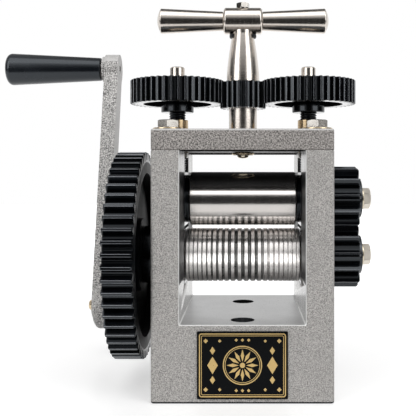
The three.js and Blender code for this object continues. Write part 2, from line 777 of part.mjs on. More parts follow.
place('drive_gear', driveGear(), materials.black, lowerRoll);
place('drive_gear_key', keyBar(driveKeyStart, driveKeyEnd, gearSeatRadius), materials.polished, lowerRoll);
shaftFastener('drive_gear', -1, driveOuterX - driveNose, lowerRoll);

// Crank: bush in the frame's lug, then shaft, pinion, arm and grip, drawn upright and tilted back together
const crankBush = turned('x', [
  [bushFlangeX, crankBushInner],
  [bushFlangeX, crankBushFlangeRadius],
  [lugOuterX - faceGap, crankBushFlangeRadius],
  [lugOuterX - faceGap, crankBushOuter],
  [lugInnerX, crankBushOuter],
  [lugInnerX, crankBushInner],
  [bushFlangeX, crankBushInner],
], mediumRound);
place('crank_bush', crankBush, materials.bronze, mill, [0, crankAxisY, crankAxisHeight]);

const crank = subGroup(mill, 0, crankAxisY, crankAxisHeight, -crankTilt);
const armOuterX = driveOuterX - armReach;
const armInnerX = armOuterX + armThickness;
const crankShaftEnd = armOuterX + armSocketWall + faceGap;
const crankKeyStart = armInnerX + keyInset;
const crankKeyEnd = crankPinionInner - keyInset;
const crankHeadX = lugInnerX + faceGap;
const crankBoltHole = crankShaftEnd + crankBoltLength;

const crankShaft = cut(
  turned('x', [
    [crankBoltHole, 0],
    [crankBoltHole, crankBoltRadius + holeGap],
    [crankShaftEnd, crankBoltRadius + holeGap],
    [crankShaftEnd, crankShaftRadius],
    [crankHeadX, crankShaftRadius],
    [crankHeadX, crankShaftHeadRadius],
    [crankHeadX + crankShaftHeadLength, crankShaftHeadRadius],
    [crankHeadX + crankShaftHeadLength, 0],
  ], mediumRound),
  keyway(crankKeyStart - keyGap, crankKeyEnd + keyGap, crankShaftRadius));
place('crank_shaft', crankShaft, materials.polished, crank);
place('crank_key', keyBar(crankKeyStart, crankKeyEnd, crankShaftRadius), materials.polished, crank);

const pinionToothAngle = meshingToothAngle(driveToothAngle, driveTeeth, pinionTeeth, crankLineAngle)
  + THREE.MathUtils.radToDeg(crankTilt);
const crankBore = rod('x', armInnerX, -halfWidth, crankShaftRadius + pressGap, mediumRound);
const crankKeyway = keyway(crankKeyStart - keyGap, crankKeyEnd + keyGap, crankShaftRadius);
const crankPinion = cut(
  extruded(
    'x',
    gearOutline({ ...driveSpec, teeth: pinionTeeth, toothAngle: pinionToothAngle }),
    crankPinionOuter,
    crankPinionInner),
  crankBore,
  crankKeyway);
place('crank_pinion', crankPinion, materials.black, crank);

// Crank arm: a straight cast bar with a heavy foot on the shaft and a round head for the grip
function crankArm() {
  const footRise = Math.sqrt(armFootRadius ** 2 - (armWidth / 2) ** 2);
  const headDrop = Math.sqrt(armHeadRadius ** 2 - (armWidth / 2) ** 2);
  const headAngle = Math.atan2(headDrop, armWidth / 2);
  const footAngle = Math.atan2(footRise, armWidth / 2);
  const outline = new THREE.Shape();
  outline.moveTo(armWidth / 2, footRise);
  outline.lineTo(armWidth / 2, crankThrow - headDrop);
  outline.absarc(0, crankThrow, armHeadRadius, -headAngle, Math.PI + headAngle);
  outline.lineTo(-armWidth / 2, footRise);
  const insideFootRadius = armFootRadius - armFootRound / 2; // keeps the bar's end inside the foot's round
  outline.absarc(0, 0, insideFootRadius, Math.PI - footAngle, 2 * Math.PI + footAngle);
  const bar = extruded('x', outline, armOuterX, armInnerX, armEdgeRound, 6);
  const hubEnd = crankPinionOuter - faceGap;
  const armHubRadius = crankShaftRadius + keyHeight / 2 + armHubCover;
  const foot = turned('x', [
    [armOuterX, 0],
    ...roundEdge(armOuterX + armFootRound, armFootRadius - armFootRound, armFootRound, -Math.PI / 2, 0, 3),
    [armInnerX, armFootRadius],
    [armInnerX, armHubRadius],
    [hubEnd, armHubRadius],
    [hubEnd, 0],
  ], mediumRound);
  const bossFace = armOuterX - armBossHeight;
  const boss = rod('x', bossFace, (armOuterX + armInnerX) / 2, armBossRadius, mediumRound)
    .translate([0, 0, crankThrow]);
  const socketRadius = crankShaftRadius + pressGap;
  const socket = rod('x', armOuterX + armSocketWall, hubEnd + cutPast, socketRadius, mediumRound);
  const boltHole = rod('x', armOuterX - cutPast, armInnerX, crankBoltRadius + holeGap, smallRound);
  const spindleHole = rod('x', bossFace - cutPast, armInnerX + cutPast, spindleHoleRadius, smallRound)
    .translate([0, 0, crankThrow]);
  const seatEnd = bossFace + spindleSeatDepth + holeGap;
  const spindleSeat = rod('x', bossFace - cutPast, seatEnd, spindleRadius + pressGap, smallRound)
    .translate([0, 0, crankThrow]);
  return cut(join(bar, foot, boss), socket, boltHole, spindleHole, spindleSeat, crankKeyway);
}

place('crank_arm', crankArm(), materials.cast, crank);

const crankBoltX = armOuterX - faceGap;
const crankBolt = turned('x', [
  [crankBoltX - crankBoltHeadHeight, 0],
  ...roundEdge(
    crankBoltX - crankBoltHeadHeight + crankBoltHeadRound,
    crankBoltHeadRadius - crankBoltHeadRound,
    crankBoltHeadRound,
    -Math.PI / 2,
    0,
    2),
  [crankBoltX, crankBoltHeadRadius],
  [crankBoltX, crankBoltRadius],
  [crankBoltX + crankBoltLength, crankBoltRadius],
  [crankBoltX + crankBoltLength, 0],
], smallRound);
place('crank_bolt', crankBolt, materials.fastener, crank);

// Spindle and grip, about the axis at the crank's far end
const gripAxis = subGroup(crank, 0, 0, crankThrow);
const bossX = armOuterX - armBossHeight;
const collarX = bossX - faceGap;
const gripInnerX = collarX - spindleCollar - faceGap;
const gripOuterX = gripInnerX - gripLength;
const gripBoreEndX = gripOuterX + gripEndWall;
const spindleEndX = gripBoreEndX + spindleInset;
const gripSpindle = turned('x', [
  [spindleEndX, 0],
  [spindleEndX, spindleRadius],
  [collarX - spindleCollar, spindleRadius],
  [collarX - spindleCollar, spindleCollarRadius],
  [collarX, spindleCollarRadius],
  [collarX, spindleRadius],
  [bossX + spindleSeatDepth, spindleRadius],
  [bossX + spindleSeatDepth, 0],
], smallRound);
place('grip_spindle', gripSpindle, materials.polished, gripAxis);

const gripBoreRadius = spindleRadius + runGap;
const crankGrip = turned('x', [
  [gripOuterX, 0],
  ...roundEdge(gripOuterX + gripEndRound, gripLargeRadius - gripEndRound, gripEndRound, -Math.PI / 2, 0, 4),
  [gripInnerX - gripNeckRound, gripSmallRadius],
  [gripInnerX, gripSmallRadius - gripNeckRound],
  [gripInnerX, gripBoreRadius],
  [gripBoreEndX, gripBoreRadius],
  [gripBoreEndX, 0],
], mediumRound);
place('crank_grip', crankGrip, materials.grip, gripAxis);

// Adjusting screws, each with the bush that it turns in, its gear and the stud that clamps the gear
const screwBottom = upperRollHeight + upperBlockRise - screwFootDepth;
const screwShoulder = upperRollHeight + upperBlockRise + faceGap;
const screwGearBottom = plateTop + screwGearRise;
const screwGearTop = screwGearBottom + screwGearWidth;
const screwTop = screwGearTop - screwTopInset;

const screwSpec = {
  module: screwModule,
  addendum: screwModule * addendumShare,
  dedendum: screwModule * dedendumShare,
  backlash: screwBacklash,
};
const centreToothAngle = 270 + 180 / centrePinionTeeth;

function screwGear(side) {
  const lineAngle = side > 0 ? 0 : 180;
  const toothAngle = meshingToothAngle(centreToothAngle, centrePinionTeeth, screwGearTeeth, lineAngle);
  const outline = gearOutline({ ...screwSpec, teeth: screwGearTeeth, toothAngle });
  const teeth = extruded('z', outline, 0, screwGearWidth);
  const rimInner = (screwGearTeeth * screwModule) / 2 - screwSpec.dedendum - screwGearRimThickness;
  const recess = tube('z', -cutPast, screwGearRecess, screwGearHubRadius, rimInner, mediumRound);
  const hub = rod('z', -screwGearHubDrop, screwGearRecess, screwGearHubRadius, mediumRound);
  const boreRadius = screwRadius + pressGap;
  const bore = rod('z', -screwGearHubDrop - cutPast, screwGearWidth + cutPast, boreRadius, smallRound);
  return cut(join(cut(teeth, recess), hub), bore);
}

const studHoleDepth = studShankLength + tappedHoleSpare;
const adjustingScrew = () => turned('z', [
  [screwBottom, 0],
  [screwBottom, screwFootRadius],
  [screwShoulder, screwFootRadius],
  [screwShoulder, screwRadius],
  [screwTop, screwRadius],
  [screwTop, studShankRadius + holeGap],
  [screwTop - studHoleDepth, studShankRadius + holeGap],
  [screwTop - studHoleDepth, 0],
], smallRound);

const gearStud = () => turned('z', [
  [-studShankLength - screwTopInset, 0],
  [-studShankLength - screwTopInset, studShankRadius],
  [0, studShankRadius],
  [0, studFlangeRadius],
  [studFlange, studFlangeRadius],
  [studFlange, studRadius],
  [studRise - studChamfer, studRadius],
  [studRise, studRadius - studChamfer],
  [studRise, 0],
], smallRound);

for (const [sideName, side] of Object.entries(sides)) {
  const screwAxis = subGroup(mill, side * screwX, 0, 0);
  const bushTop = plateThickness + threadBushRise;
  const bush = tube('z', -threadBushDrop, bushTop, screwRadius + runGap, threadBushRadius, ringRound);
  place(`${sideName}_thread_bush`, bush, materials.bronze, screwAxis, [0, 0, plateBottom]);
  place(`${sideName}_adjusting_screw`, adjustingScrew(), materials.black, screwAxis);
  place(`${sideName}_screw_gear`, screwGear(side), materials.black, screwAxis, [0, 0, screwGearBottom]);
  place(`${sideName}_gear_stud`, gearStud(), materials.polished, screwAxis, [0, 0, screwGearTop + faceGap]);
}

// T-handle: a stem through the top plate, the centre pinion on it, and a cross bar in a hub
const centrePinionBottom = plateTop + centrePinionRise;
const centrePinionTop = centrePinionBottom + centrePinionWidth;
const hubAxisHeight = plateTop + handleRise;
const shoulderHeight = plateBottom + stemSpigotLength + faceGap;
const socketCeiling = hubAxisHeight - hubRadius + hubSocketDepth;
const stemTop = socketCeiling - faceGap;
const taperStart = centrePinionTop + faceGap + stemStraight;
const taperEnd = hubAxisHeight - hubRadius;

function stemTaper() {
  const points = [];
  for (let i = 0; i <= taperSteps; i += 1) {
    const share = i / taperSteps;
    const radius = stemShoulderRadius - (stemShoulderRadius - stemNeckRadius) * share ** taperPower;
    points.push([taperStart + (taperEnd - taperStart) * share, radius]);
  }
  return points;
}

const retainerHoleTop = plateBottom + retainerScrewLength + tappedHoleSpare;
const hubScrewHoleBottom = hubAxisHeight + hubRadius - hubScrewLength - tappedHoleSpare;
const handleStem = turned('z', [
  [retainerHoleTop, 0],
  [retainerHoleTop, retainerScrewRadius + holeGap],
  [plateBottom + faceGap, retainerScrewRadius + holeGap],
  [plateBottom + faceGap, stemSpigotRadius],
  [shoulderHeight, stemSpigotRadius],
  [shoulderHeight, stemRadius],
  [centrePinionTop + faceGap, stemRadius],
  [centrePinionTop + faceGap, stemShoulderRadius],
  ...stemTaper(),
  [stemTop, stemNeckRadius],
  [stemTop, hubScrewRadius + holeGap],
  [hubScrewHoleBottom, hubScrewRadius + holeGap],
  [hubScrewHoleBottom, 0],
], mediumRound);
place('handle_stem', handleStem, materials.polished, mill);

const centreOutline = gearOutline({ ...screwSpec, teeth: centrePinionTeeth, toothAngle: centreToothAngle });
const centrePinion = cut(
  extruded('z', centreOutline, 0, centrePinionWidth),
  rod('z', -cutPast, centrePinionWidth + cutPast, stemRadius + pressGap, mediumRound));
place('centre_pinion', centrePinion, materials.black, mill, [0, 0, centrePinionBottom]);

const washerTop = plateBottom - faceGap;
const washerBottom = washerTop - retainerThickness;
const retainerHole = retainerScrewRadius + holeGap;
const retainerWasher = tube('z', washerBottom, washerTop, retainerHole, retainerRadius, ringRound);
place('retainer_washer', retainerWasher, materials.fastener, mill);
const retainerHeadTop = washerBottom - faceGap;
const retainerScrew = join(
  rod('z', retainerHeadTop - retainerHeadHeight, retainerHeadTop, retainerHeadRadius, smallRound),
  rod('z', retainerHeadTop, plateBottom + retainerScrewLength, retainerScrewRadius, smallRound));
place('retainer_screw', retainerScrew, materials.fastener, mill);

const hub = subGroup(mill, 0, 0, hubAxisHeight);
const hubHalf = hubLength / 2;
const barHoleEnd = hubHalf - barSpigotLength - holeGap;
const hubBody = turned('x', [
  [-hubHalf, 0],
  ...roundEdge(-hubHalf + hubEdgeRound, hubRadius - hubEdgeRound, hubEdgeRound, -Math.PI / 2, 0, 2),
  ...roundEdge(hubHalf - hubEdgeRound, hubRadius - hubEdgeRound, hubEdgeRound, 0, Math.PI / 2, 2),
  [hubHalf, 0],
], mediumRound);
const hubBelow = -hubRadius - cutPast;
const hubAbove = hubRadius + cutPast;
const screwSeatRadius = hubScrewHead / Math.sqrt(3) + holeGap;
const handleHub = cut(
  hubBody,
  rod('x', -hubLength, -barHoleEnd, barSpigotRadius + pressGap, smallRound),
  rod('x', barHoleEnd, hubLength, barSpigotRadius + pressGap, smallRound),
  rod('z', hubBelow, -hubRadius + hubSocketDepth, stemNeckRadius + pressGap, mediumRound),
  rod('z', hubBelow, hubAbove, hubScrewRadius + holeGap, smallRound),
  rod('z', hubRadius - hubScrewSeat, hubAbove, screwSeatRadius, smallRound));
place('handle_hub', handleHub, materials.polished, hub);

const ringInner = stemNeckRadius + hubRingSlack;
const ringTop = -hubRadius - hubRingGap;
const hubRing = tube('z', ringTop - hubRingHeight, ringTop, ringInner, hubRingRadius, ringRound);
place('hub_ring', hubRing, materials.rubber, hub);

const hubScrew = hexBolt(hubScrewHead, hubScrewHeadHeight, hubScrewRadius, hubScrewLength);
const hubScrewHeight = hubRadius - hubScrewSeat + faceGap;
place('hub_screw', hubScrew, materials.polished, hub, [0, 0, hubScrewHeight], Math.PI / 2);

const handleBar = () => turned('x', [
  [-barSpigotLength, 0],
  [-barSpigotLength, barSpigotRadius],
  [faceGap, barSpigotRadius],
  [faceGap, barNeckRadius],
  ...roundEdge(barLength - barEndRound, barEndRadius - barEndRound, barEndRound, 0, Math.PI / 2, 3),
  [barLength, 0],
], mediumRound);
for (const [sideName, side] of Object.entries(sides)) {
  const turn = side > 0 ? 0 : Math.PI;
  place(`${sideName}_handle_bar`, handleBar(), materials.polished, hub, [side * hubHalf, 0, 0], turn);
}

export default mill;
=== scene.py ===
"""Looks of a jewellers rolling mill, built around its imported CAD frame.

Shapes are drawn in millimetres in the frame's own axes: X along the rolls, Y away from the operator, Z up.
They are scaled to metres when a mesh is made, and each piece rides on the body of the node it stands for.
"""

import json
import math

import bmesh
import bpy
from mathutils import Matrix, Vector


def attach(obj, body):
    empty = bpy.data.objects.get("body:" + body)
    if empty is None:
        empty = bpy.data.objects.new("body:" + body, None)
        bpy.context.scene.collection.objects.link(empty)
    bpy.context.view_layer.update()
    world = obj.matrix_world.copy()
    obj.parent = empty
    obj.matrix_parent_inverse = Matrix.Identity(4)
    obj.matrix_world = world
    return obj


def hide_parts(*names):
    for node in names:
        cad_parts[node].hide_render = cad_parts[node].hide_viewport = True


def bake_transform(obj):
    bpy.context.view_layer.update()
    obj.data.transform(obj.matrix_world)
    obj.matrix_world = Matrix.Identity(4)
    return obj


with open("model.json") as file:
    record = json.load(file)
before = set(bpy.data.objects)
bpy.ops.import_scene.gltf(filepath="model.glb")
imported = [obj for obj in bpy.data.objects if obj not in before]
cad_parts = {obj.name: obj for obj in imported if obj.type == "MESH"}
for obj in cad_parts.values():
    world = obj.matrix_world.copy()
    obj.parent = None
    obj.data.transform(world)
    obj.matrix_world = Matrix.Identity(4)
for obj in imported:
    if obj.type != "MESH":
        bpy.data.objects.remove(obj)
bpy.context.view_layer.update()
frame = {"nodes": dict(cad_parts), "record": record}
node_body = {
    node: body
    for body, nodes in frame["record"]["behaviour"]["bodies"].items()
    for node in nodes
}

MILLIMETRE = 0.001
MICROMETRE = 0.000001
SIDES = (("left", -1), ("right", 1))
ROUND = 96  # facets around a turned piece
SMALL_ROUND = 40
HOLE_ROUND = 64
ROLL_ROUND = 160

# Fits and tolerances
SEAT_GAP = 0.1  # between faces that seat on each other
BORE_FIT = 0.25  # from a seat or a stem to its bore
RUNNING_FIT = 0.3  # from a journal or a shank to its hole
EDGE_BREAK = 0.6  # chamfer along turned edges
PAST = 5.0  # how far a cutter runs past the face that it opens
NEAR = 0.1  # how close to a plane a face counts as lying on it

# Frame casting and top plate
HALF_WIDTH = 59.25
HALF_DEPTH = 59.0
WALL = 18.5
HALF_WINDOW = HALF_WIDTH - WALL
WALL_CENTRE = HALF_WINDOW + WALL / 2
WINDOW_FLOOR = 50.7
SLOT_FLOOR = 70.0
HALF_SLOT = 17.5
CASTING_TOP = 163.1
PLATE_BOTTOM = 163.2
PLATE_TOP = 177.0
CORNER_ROUND = 2.5
FOOT_ROUND = 1.3
FLOOR_FILLET = 0.7
WINDOW_CHAMFER = 0.5
PAINTED_SHADE_BOTTOM = 76.0  # the window walls are painted near black beside the rolls, as a painted shade
PAINTED_SHADE_TOP = 149.0
RECESS_FRONT_Y = -33.0  # shallow milled recess under the plate
RECESS_REAR_Y = 22.0
RECESS_DEPTH = 0.35
SEAM_ROUND = 0.6  # rounding on both sides of the seam between the plate and the casting
PLATE_ROUND = 1.2
BENCH_HOLE_RADIUS = 8.0
BENCH_HOLES_Y = (-42.0, 29.0)
PLATE_BOLT_Y = 38.0

# Bolts and washers
BOLT_FLATS = 13.0
BOLT_HEAD = 5.2
BOLT_RADIUS = 4.0
BOLT_HOLE_RADIUS = BOLT_RADIUS + RUNNING_FIT
BOLT_HOLE_DEPTH = 23.0
PLATE_BOLT_LENGTH = 33.8
PLATE_WASHER = 1.6
PLATE_WASHER_RADIUS = 10.2
SHAFT_BOLT_LENGTH = 17.0
SHAFT_WASHER = 1.5
SHAFT_WASHER_RADIUS = 8.0
HEAD_FOOT = 0.35  # height of the round face under a hexagon head

# Rolls and their blocks
ROLL_RADIUS = 19.2
LOWER_ROLL_Z = 89.9
UPPER_ROLL_Z = 130.1
LOWER_HALF = 40.3
UPPER_HALF = 37.55
JOURNAL_RADIUS = 11.0
JOURNAL_END_X = 59.55
GEAR_SEAT_RADIUS = 9.5
SHAFT_INSET = 0.5  # a roll's shaft ends this far inside its gear's nose
GROOVES = 21
SMALLEST_GROOVE = 0.7
LARGEST_GROOVE = 2.5
LIT_GROOVES_X = 14.0  # the groove flanks to the right of here are painted brighter, a painted highlight
BUSH_RADIUS = 13.7
BUSH_SEAT = 13.95
BLOCK_REACH = 19.1
BLOCK_HALF_DEPTH = 17.3
LOWER_BLOCK_DROP = 19.8
UPPER_BLOCK_RISE = 18.9
BLOCK_BOSS = 2.9
BLOCK_BOSS_RADIUS = 17.1
SCREW_POCKET_DEPTH = 2.3
SPRING_RADIUS = 4.9
SPRING_WIRE = 1.2
SPRING_COILS = 4
SPRING_FLAT_SHARE = 0.12  # of the wire, at each end, that doesn't climb
SPRING_POCKET_RADIUS = 5.3
SPRING_POCKET_DEPTH = 3.2

# Gears. A tooth angle is where the middle of one tooth points, in degrees.
PRESSURE_ANGLE = math.radians(20)
TIP_STEPS = 3
SYNC_TEETH = {
    "teeth": 12, "module": 39 / 12, "backlash": 0.9, "tip_round": 0.5, "chamfer": 1.1,
    "addendum": 1.14, "dedendum": 1.26}
SYNC_TOOTH_ANGLE = 172.5
SYNC_INNER_X = 62.0
SYNC_OUTER_X = 82.3
SYNC_NOSE_X = 84.6
SYNC_HUB_RADIUS = 14.0
SYNC_RING_INNER = 12.0
DRIVE_TEETH = {"teeth": 56, "module": 2.54, "backlash": 0.5, "tip_round": 0.35, "chamfer": 0.7}
DRIVE_TOOTH_ANGLE = 181.0
DRIVE_INNER_X = -69.0
DRIVE_OUTER_X = -89.0
DRIVE_NOSE_X = -91.3
DRIVE_HUB_RADIUS = 20.5
DRIVE_STEP_RADIUS = 26.0
DRIVE_RIM_INNER = 58.445
DRIVE_RING_INNER = 66.5
DRIVE_RECESS = 6.0
DRIVE_COLLAR = 4.6
DRIVE_COLLAR_RADIUS = 13.5
SCREW_TEETH = {"teeth": 43, "module": 1.5, "backlash": 0.3, "tip_round": 0.25, "chamfer": 0.45}
SCREW_GEAR_BOTTOM = 197.9
SCREW_GEAR_TOP = 214.7
SCREW_RING_INNER = 29.0
SCREW_RIM_INNER = 24.4
SCREW_HUB_RADIUS = 11.7
SCREW_HUB_DROP = 6.0
CENTRE_TEETH = {**SCREW_TEETH, "teeth": 20}
CENTRE_TOOTH_ANGLE = 270 + 180 / CENTRE_TEETH["teeth"]

# Crank
CRANK_TEETH = {**DRIVE_TEETH, "teeth": 14}
CRANK_LINE_ANGLE = -34.0  # direction from the lower roll's axis to the crank's, in degrees
CRANK_Y = 73.7014
CRANK_Z = 40.1878
CRANK_TILT = math.radians(-15.3)
CRANK_THROW = 208.9
CRANK_SHAFT_RADIUS = 8.0
CRANK_COLLAR_RADIUS = 11.0
CRANK_COLLAR = 4.0
CRANK_BUSH_FLANGE = 13.0
CRANK_BUSH_RADIUS = 10.7
PINION_OUTER_X = -90.0
PINION_INNER_X = -68.0
LUG_OUTER_X = -66.55
LUG_INNER_X = -47.5
LUG_RADIUS = 17.0
LUG_SUNK = 4.0
COLLAR_BORE_DEPTH = 9.0
ARM_OUTER_X = -123.0
ARM_INNER_X = -110.9
ARM_WIDTH = 21.0
ARM_FOOT_RADIUS = 19.0
ARM_FOOT_DOME = (6.0, 13.0)  # how far the foot's rounding reaches along and across the shaft
ARM_NECK_RADIUS = 14.0
ARM_SOCKET_WALL = 5.6
ARM_HEAD_RADIUS = 13.0
ARM_BOSS_X = -125.7
ARM_BOSS_RADIUS = 11.3
CRANK_BOLT_RADIUS = 3.0
CRANK_BOLT_LENGTH = 20.0
SPINDLE_RADIUS = 4.0
SPINDLE_COLLAR_RADIUS = 7.0
SPINDLE_TAIL = 9.0
GRIP_INNER_X = -127.0
GRIP_OUTER_X = -211.0
GRIP_END_RADIUS = 14.08
GRIP_NECK_RADIUS = 10.2
GRIP_ROUND = 4.5
GRIP_CAP = 14.0  # solid end of the grip, beyond its bore

# Screws and T-handle
SCREW_X = 47.25
SCREW_RADIUS = 6.0
SCREW_PITCH = 1.75
SCREW_FOOT_Z = 147.0
SCREW_FOOT_RADIUS = 5.0
SCREW_FOOT = 2.4
THREAD_DEPTH = 0.75
THREAD_BUSH_RADIUS = 7.7
THREAD_BUSH_DROP = 3.8
THREAD_BUSH_RISE = 9.6
STUD_RISE = 10.0
STUD_RADIUS = 5.3
STUD_LENGTH = 13.5
STUD_SHANK_RADIUS = 3.0
STUD_CHAMFER = 0.8
STUD_FLANGE_RADIUS = 6.7
STUD_FLANGE = 0.9
PINION_BOTTOM = 194.8
PINION_TOP = 213.8
STEM_RADIUS = 10.125
STEM_SHOULDER_RADIUS = 11.725
STEM_NECK_RADIUS = 7.6
STEM_JOURNAL_RADIUS = 6.0
STEM_JOURNAL = 6.0
STEM_SUNK = 2.5
BAR_Z = 258.1
BAR_LENGTH = 47.9
BAR_DOME = 2.8
BAR_SPIGOT = 7.5
BAR_SPIGOT_RADIUS = 4.0
BAR_INNER_RADIUS = 6.8
BAR_OUTER_RADIUS = 9.0
HUB_RADIUS = 9.5
HUB_HALF = 13.95
HUB_CHAMFER = 1.2
HUB_RING = 2.4
HUB_RING_RADIUS = 9.65
SMALL_SCREW_RADIUS = 2.5  # shank of the hub's screw and of the stem's retaining screw
HUB_SCREW_FLATS = 8.3
HUB_SCREW_HEAD = 3.9
HUB_SCREW_LENGTH = 24.5
HUB_SCREW_SEAT_RADIUS = 5.1
HUB_SCREW_TURN = math.radians(75)
CLIP_OPENING = math.radians(60)  # each side of the front, where the hub ring is open
RETAINER_RADIUS = 8.1
RETAINER_WASHER = 1.8
RETAINER_SCREW_DEPTH = 13.0
RETAINER_SOCKET_FLATS = 3.0

# Label plate
LABEL_HALF_WIDTH = 29.2
LABEL_BOTTOM = 3.3
LABEL_TOP = 46.8
LABEL_HALF_HEIGHT = (LABEL_TOP - LABEL_BOTTOM) / 2
LABEL_CORNER = 0.6
LABEL_FRONT_Y = -59.84
LABEL_BACK_Y = -59.1
ORNAMENT_FRONT_Y = -59.9
ORNAMENT_SUNK = 0.03

# Stage and light. Angles are in degrees, azimuths measured from the photographer's side.
FLOOR_HALF_WIDTH = 2500.0
FLOOR_FRONT_Y = -320.0
FLOOR_REAR_Y = 3000.0
FLOOR_COLOUR = 0.6
FLOOR_GLOW = 0.46
FAR_FLOOR_GLOW = 0.9
FAR_FLOOR_START = 300.0
FAR_FLOOR_END = 1100.0
DARK_ROOM = 0.02
DARK_ROOM_EDGE = 95
WHITE_ROOM_EDGE = 130
BACKDROP_TOP = 38
BACKDROP_FADE = 12
SIDE_GLOW = 0.5
CEILING = 0.75
CEILING_START = 8
CEILING_FULL = 46

# Softboxes and camera, in metres. A softbox has a place, a target, a size and a radiance.
SIDE_BOX_PLACE = (0.79, -0.76, 0.89)
SIDE_BOX_SIZE = (0.62, 1.22)
SIDE_RADIANCE = 2.4
TOP_BOX_PLACE = (0, -0.62, 1.5)
TOP_BOX_SIZE = (1.6, 1.15)
TOP_RADIANCE = 1.3
ROLL_FRONTS = (0, -0.018, 0.138)
ROLL_BOX_PLACE = (0, -0.975, 0.775)
ROLL_BOX_SIZE = (1.3, 0.636)
ROLL_RADIANCE = 1.95
GROOVED_ROLL_RADIANCE = 0.6
CARD_PLACE = (0, -0.2, 0.02)
CARD_SIZE = (1.3, 0.26)
CARD_RADIANCE = 2.0
CAMERA_PLACE = (0.0028, -0.531, 0.1474)
CAMERA_LENS = 63.6
CAMERA_SHIFT = (-0.0933, -0.0805)


# Mesh code

def mesh_from(vertices, faces):
    mesh = bpy.data.meshes.new("shape")
    mesh.from_pydata([Vector(v) for v in vertices], [], faces)
    mesh.validate()
    return mesh


def moved(mesh, matrix):
    mesh.transform(matrix)
    return mesh


def at(mesh, x=0.0, y=0.0, z=0.0):
    return moved(mesh, Matrix.Translation((x, y, z)))


def joined(*meshes):
    """Several meshes as one."""
    shape = bmesh.new()
    for mesh in meshes:
        shape.from_mesh(mesh)
    whole = bpy.data.meshes.new("shape")
    shape.to_mesh(whole)
    shape.free()
    return whole


def cleaned(mesh):
    """The mesh with doubled points merged and its faces turned outwards."""
    shape = bmesh.new()
    shape.from_mesh(mesh)
    bmesh.ops.remove_doubles(shape, verts=shape.verts, dist=1e-4)
    bmesh.ops.recalc_face_normals(shape, faces=shape.faces)
    shape.to_mesh(mesh)
    shape.free()
    return mesh


def split_at(mesh, *heights):
    """The mesh with its faces divided along level lines, so that a finish can change there."""
    shape = bmesh.new()
    shape.from_mesh(mesh)
    for height in heights:
        everything = shape.verts[:] + shape.edges[:] + shape.faces[:]
        bmesh.ops.bisect_plane(shape, geom=everything, plane_co=(0, 0, height), plane_no=(0, 0, 1))
    shape.to_mesh(mesh)
    shape.free()
    return mesh


def combined(base, tools, operation):
    """The base mesh with each tool mesh cut from it, joined to it or intersected with it."""
    scene = bpy.context.scene
    body = bpy.data.objects.new("base", base)
    scene.collection.objects.link(body)
    used = [body]
    for tool_mesh in tools:
        tool = bpy.data.objects.new("tool", tool_mesh)
        scene.collection.objects.link(tool)
        used.append(tool)
        modifier = body.modifiers.new("combine", "BOOLEAN")
        modifier.operation = operation
        modifier.object = tool
        modifier.solver = "EXACT"
    bpy.context.view_layer.update()
    graph = bpy.context.evaluated_depsgraph_get()
    result = bpy.data.meshes.new_from_object(body.evaluated_get(graph))
    for item in used:
        bpy.data.objects.remove(item)
    return result


def cut(base, *tools):
    return combined(base, tools, "DIFFERENCE")


def fused(base, *tools):
    return combined(base, tools, "UNION")


def circle(radius, steps):
    angles = [2 * math.pi * k / steps for k in range(steps)]
    return [(radius * math.cos(angle), radius * math.sin(angle)) for angle in angles]


def arc(x, y, radius, start, sweep, steps):
    """Points along an arc about (x, y), its first and last ones included. Angles are in degrees."""
    angles = [math.radians(start + sweep * step / steps) for step in range(steps + 1)]
    return [(x + radius * math.cos(angle), y + radius * math.sin(angle)) for angle in angles]


def rounded_rectangle(half_x, half_y, radius):
    points = []
    for sign_x, sign_y, start in ((1, -1, -90), (1, 1, 0), (-1, 1, 90), (-1, -1, 180)):
        points += arc(sign_x * (half_x - radius), sign_y * (half_y - radius), radius, start, 90, 6)
    return points


def block(low, high):
    """A box between two corners, as a cutter or as the blank of a milled piece."""
    (x0, y0, z0), (x1, y1, z1) = low, high
    corners = [(x, y, z) for x in (x0, x1) for y in (y0, y1) for z in (z0, z1)]
    faces = [(0, 1, 3, 2), (4, 6, 7, 5), (0, 4, 5, 1), (2, 3, 7, 6), (0, 2, 6, 4), (1, 5, 7, 3)]
    return mesh_from(corners, faces)


def quads(first, second, count):
    """Faces between two closed rings of points, each given by the index of its first point."""
    return [(first + i, first + (i + 1) % count, second + (i + 1) % count, second + i) for i in range(count)]


def stacked(rings):
    """Closed rings of points, each joined to the next, with a face over the first and over the last."""
    count = len(rings[0])
    last = (len(rings) - 1) * count
    faces = [tuple(reversed(range(count))), tuple(range(last, last + count))]
    for row in range(0, last, count):
        faces += quads(row, row + count, count)
    return mesh_from([point for ring in rings for point in ring], faces)


def prism(outline, low, high):
    """An outline in the XY plane, raised from one height to another."""
    return stacked([[(x, y, z) for x, y in outline] for z in (low, high)])


def softened(profile, size, closed):
    """A profile with its corners rounded by a short curve of three chords."""
    points = [Vector(p) for p in profile]
    count = len(points)
    result = []
    for i, corner in enumerate(points):
        if not closed and i in (0, count - 1):
            result.append(corner)
            continue
        before = points[i - 1] - corner
        after = points[(i + 1) % count] - corner
        reach = min(size, 0.45 * before.length, 0.45 * after.length)
        start = corner + before.normalized() * reach
        end = corner + after.normalized() * reach
        for t in (0, 1 / 3, 2 / 3, 1):
            result.append(start * (1 - t) ** 2 + corner * 2 * t * (1 - t) + end * t ** 2)
    return [tuple(p) for p in result]


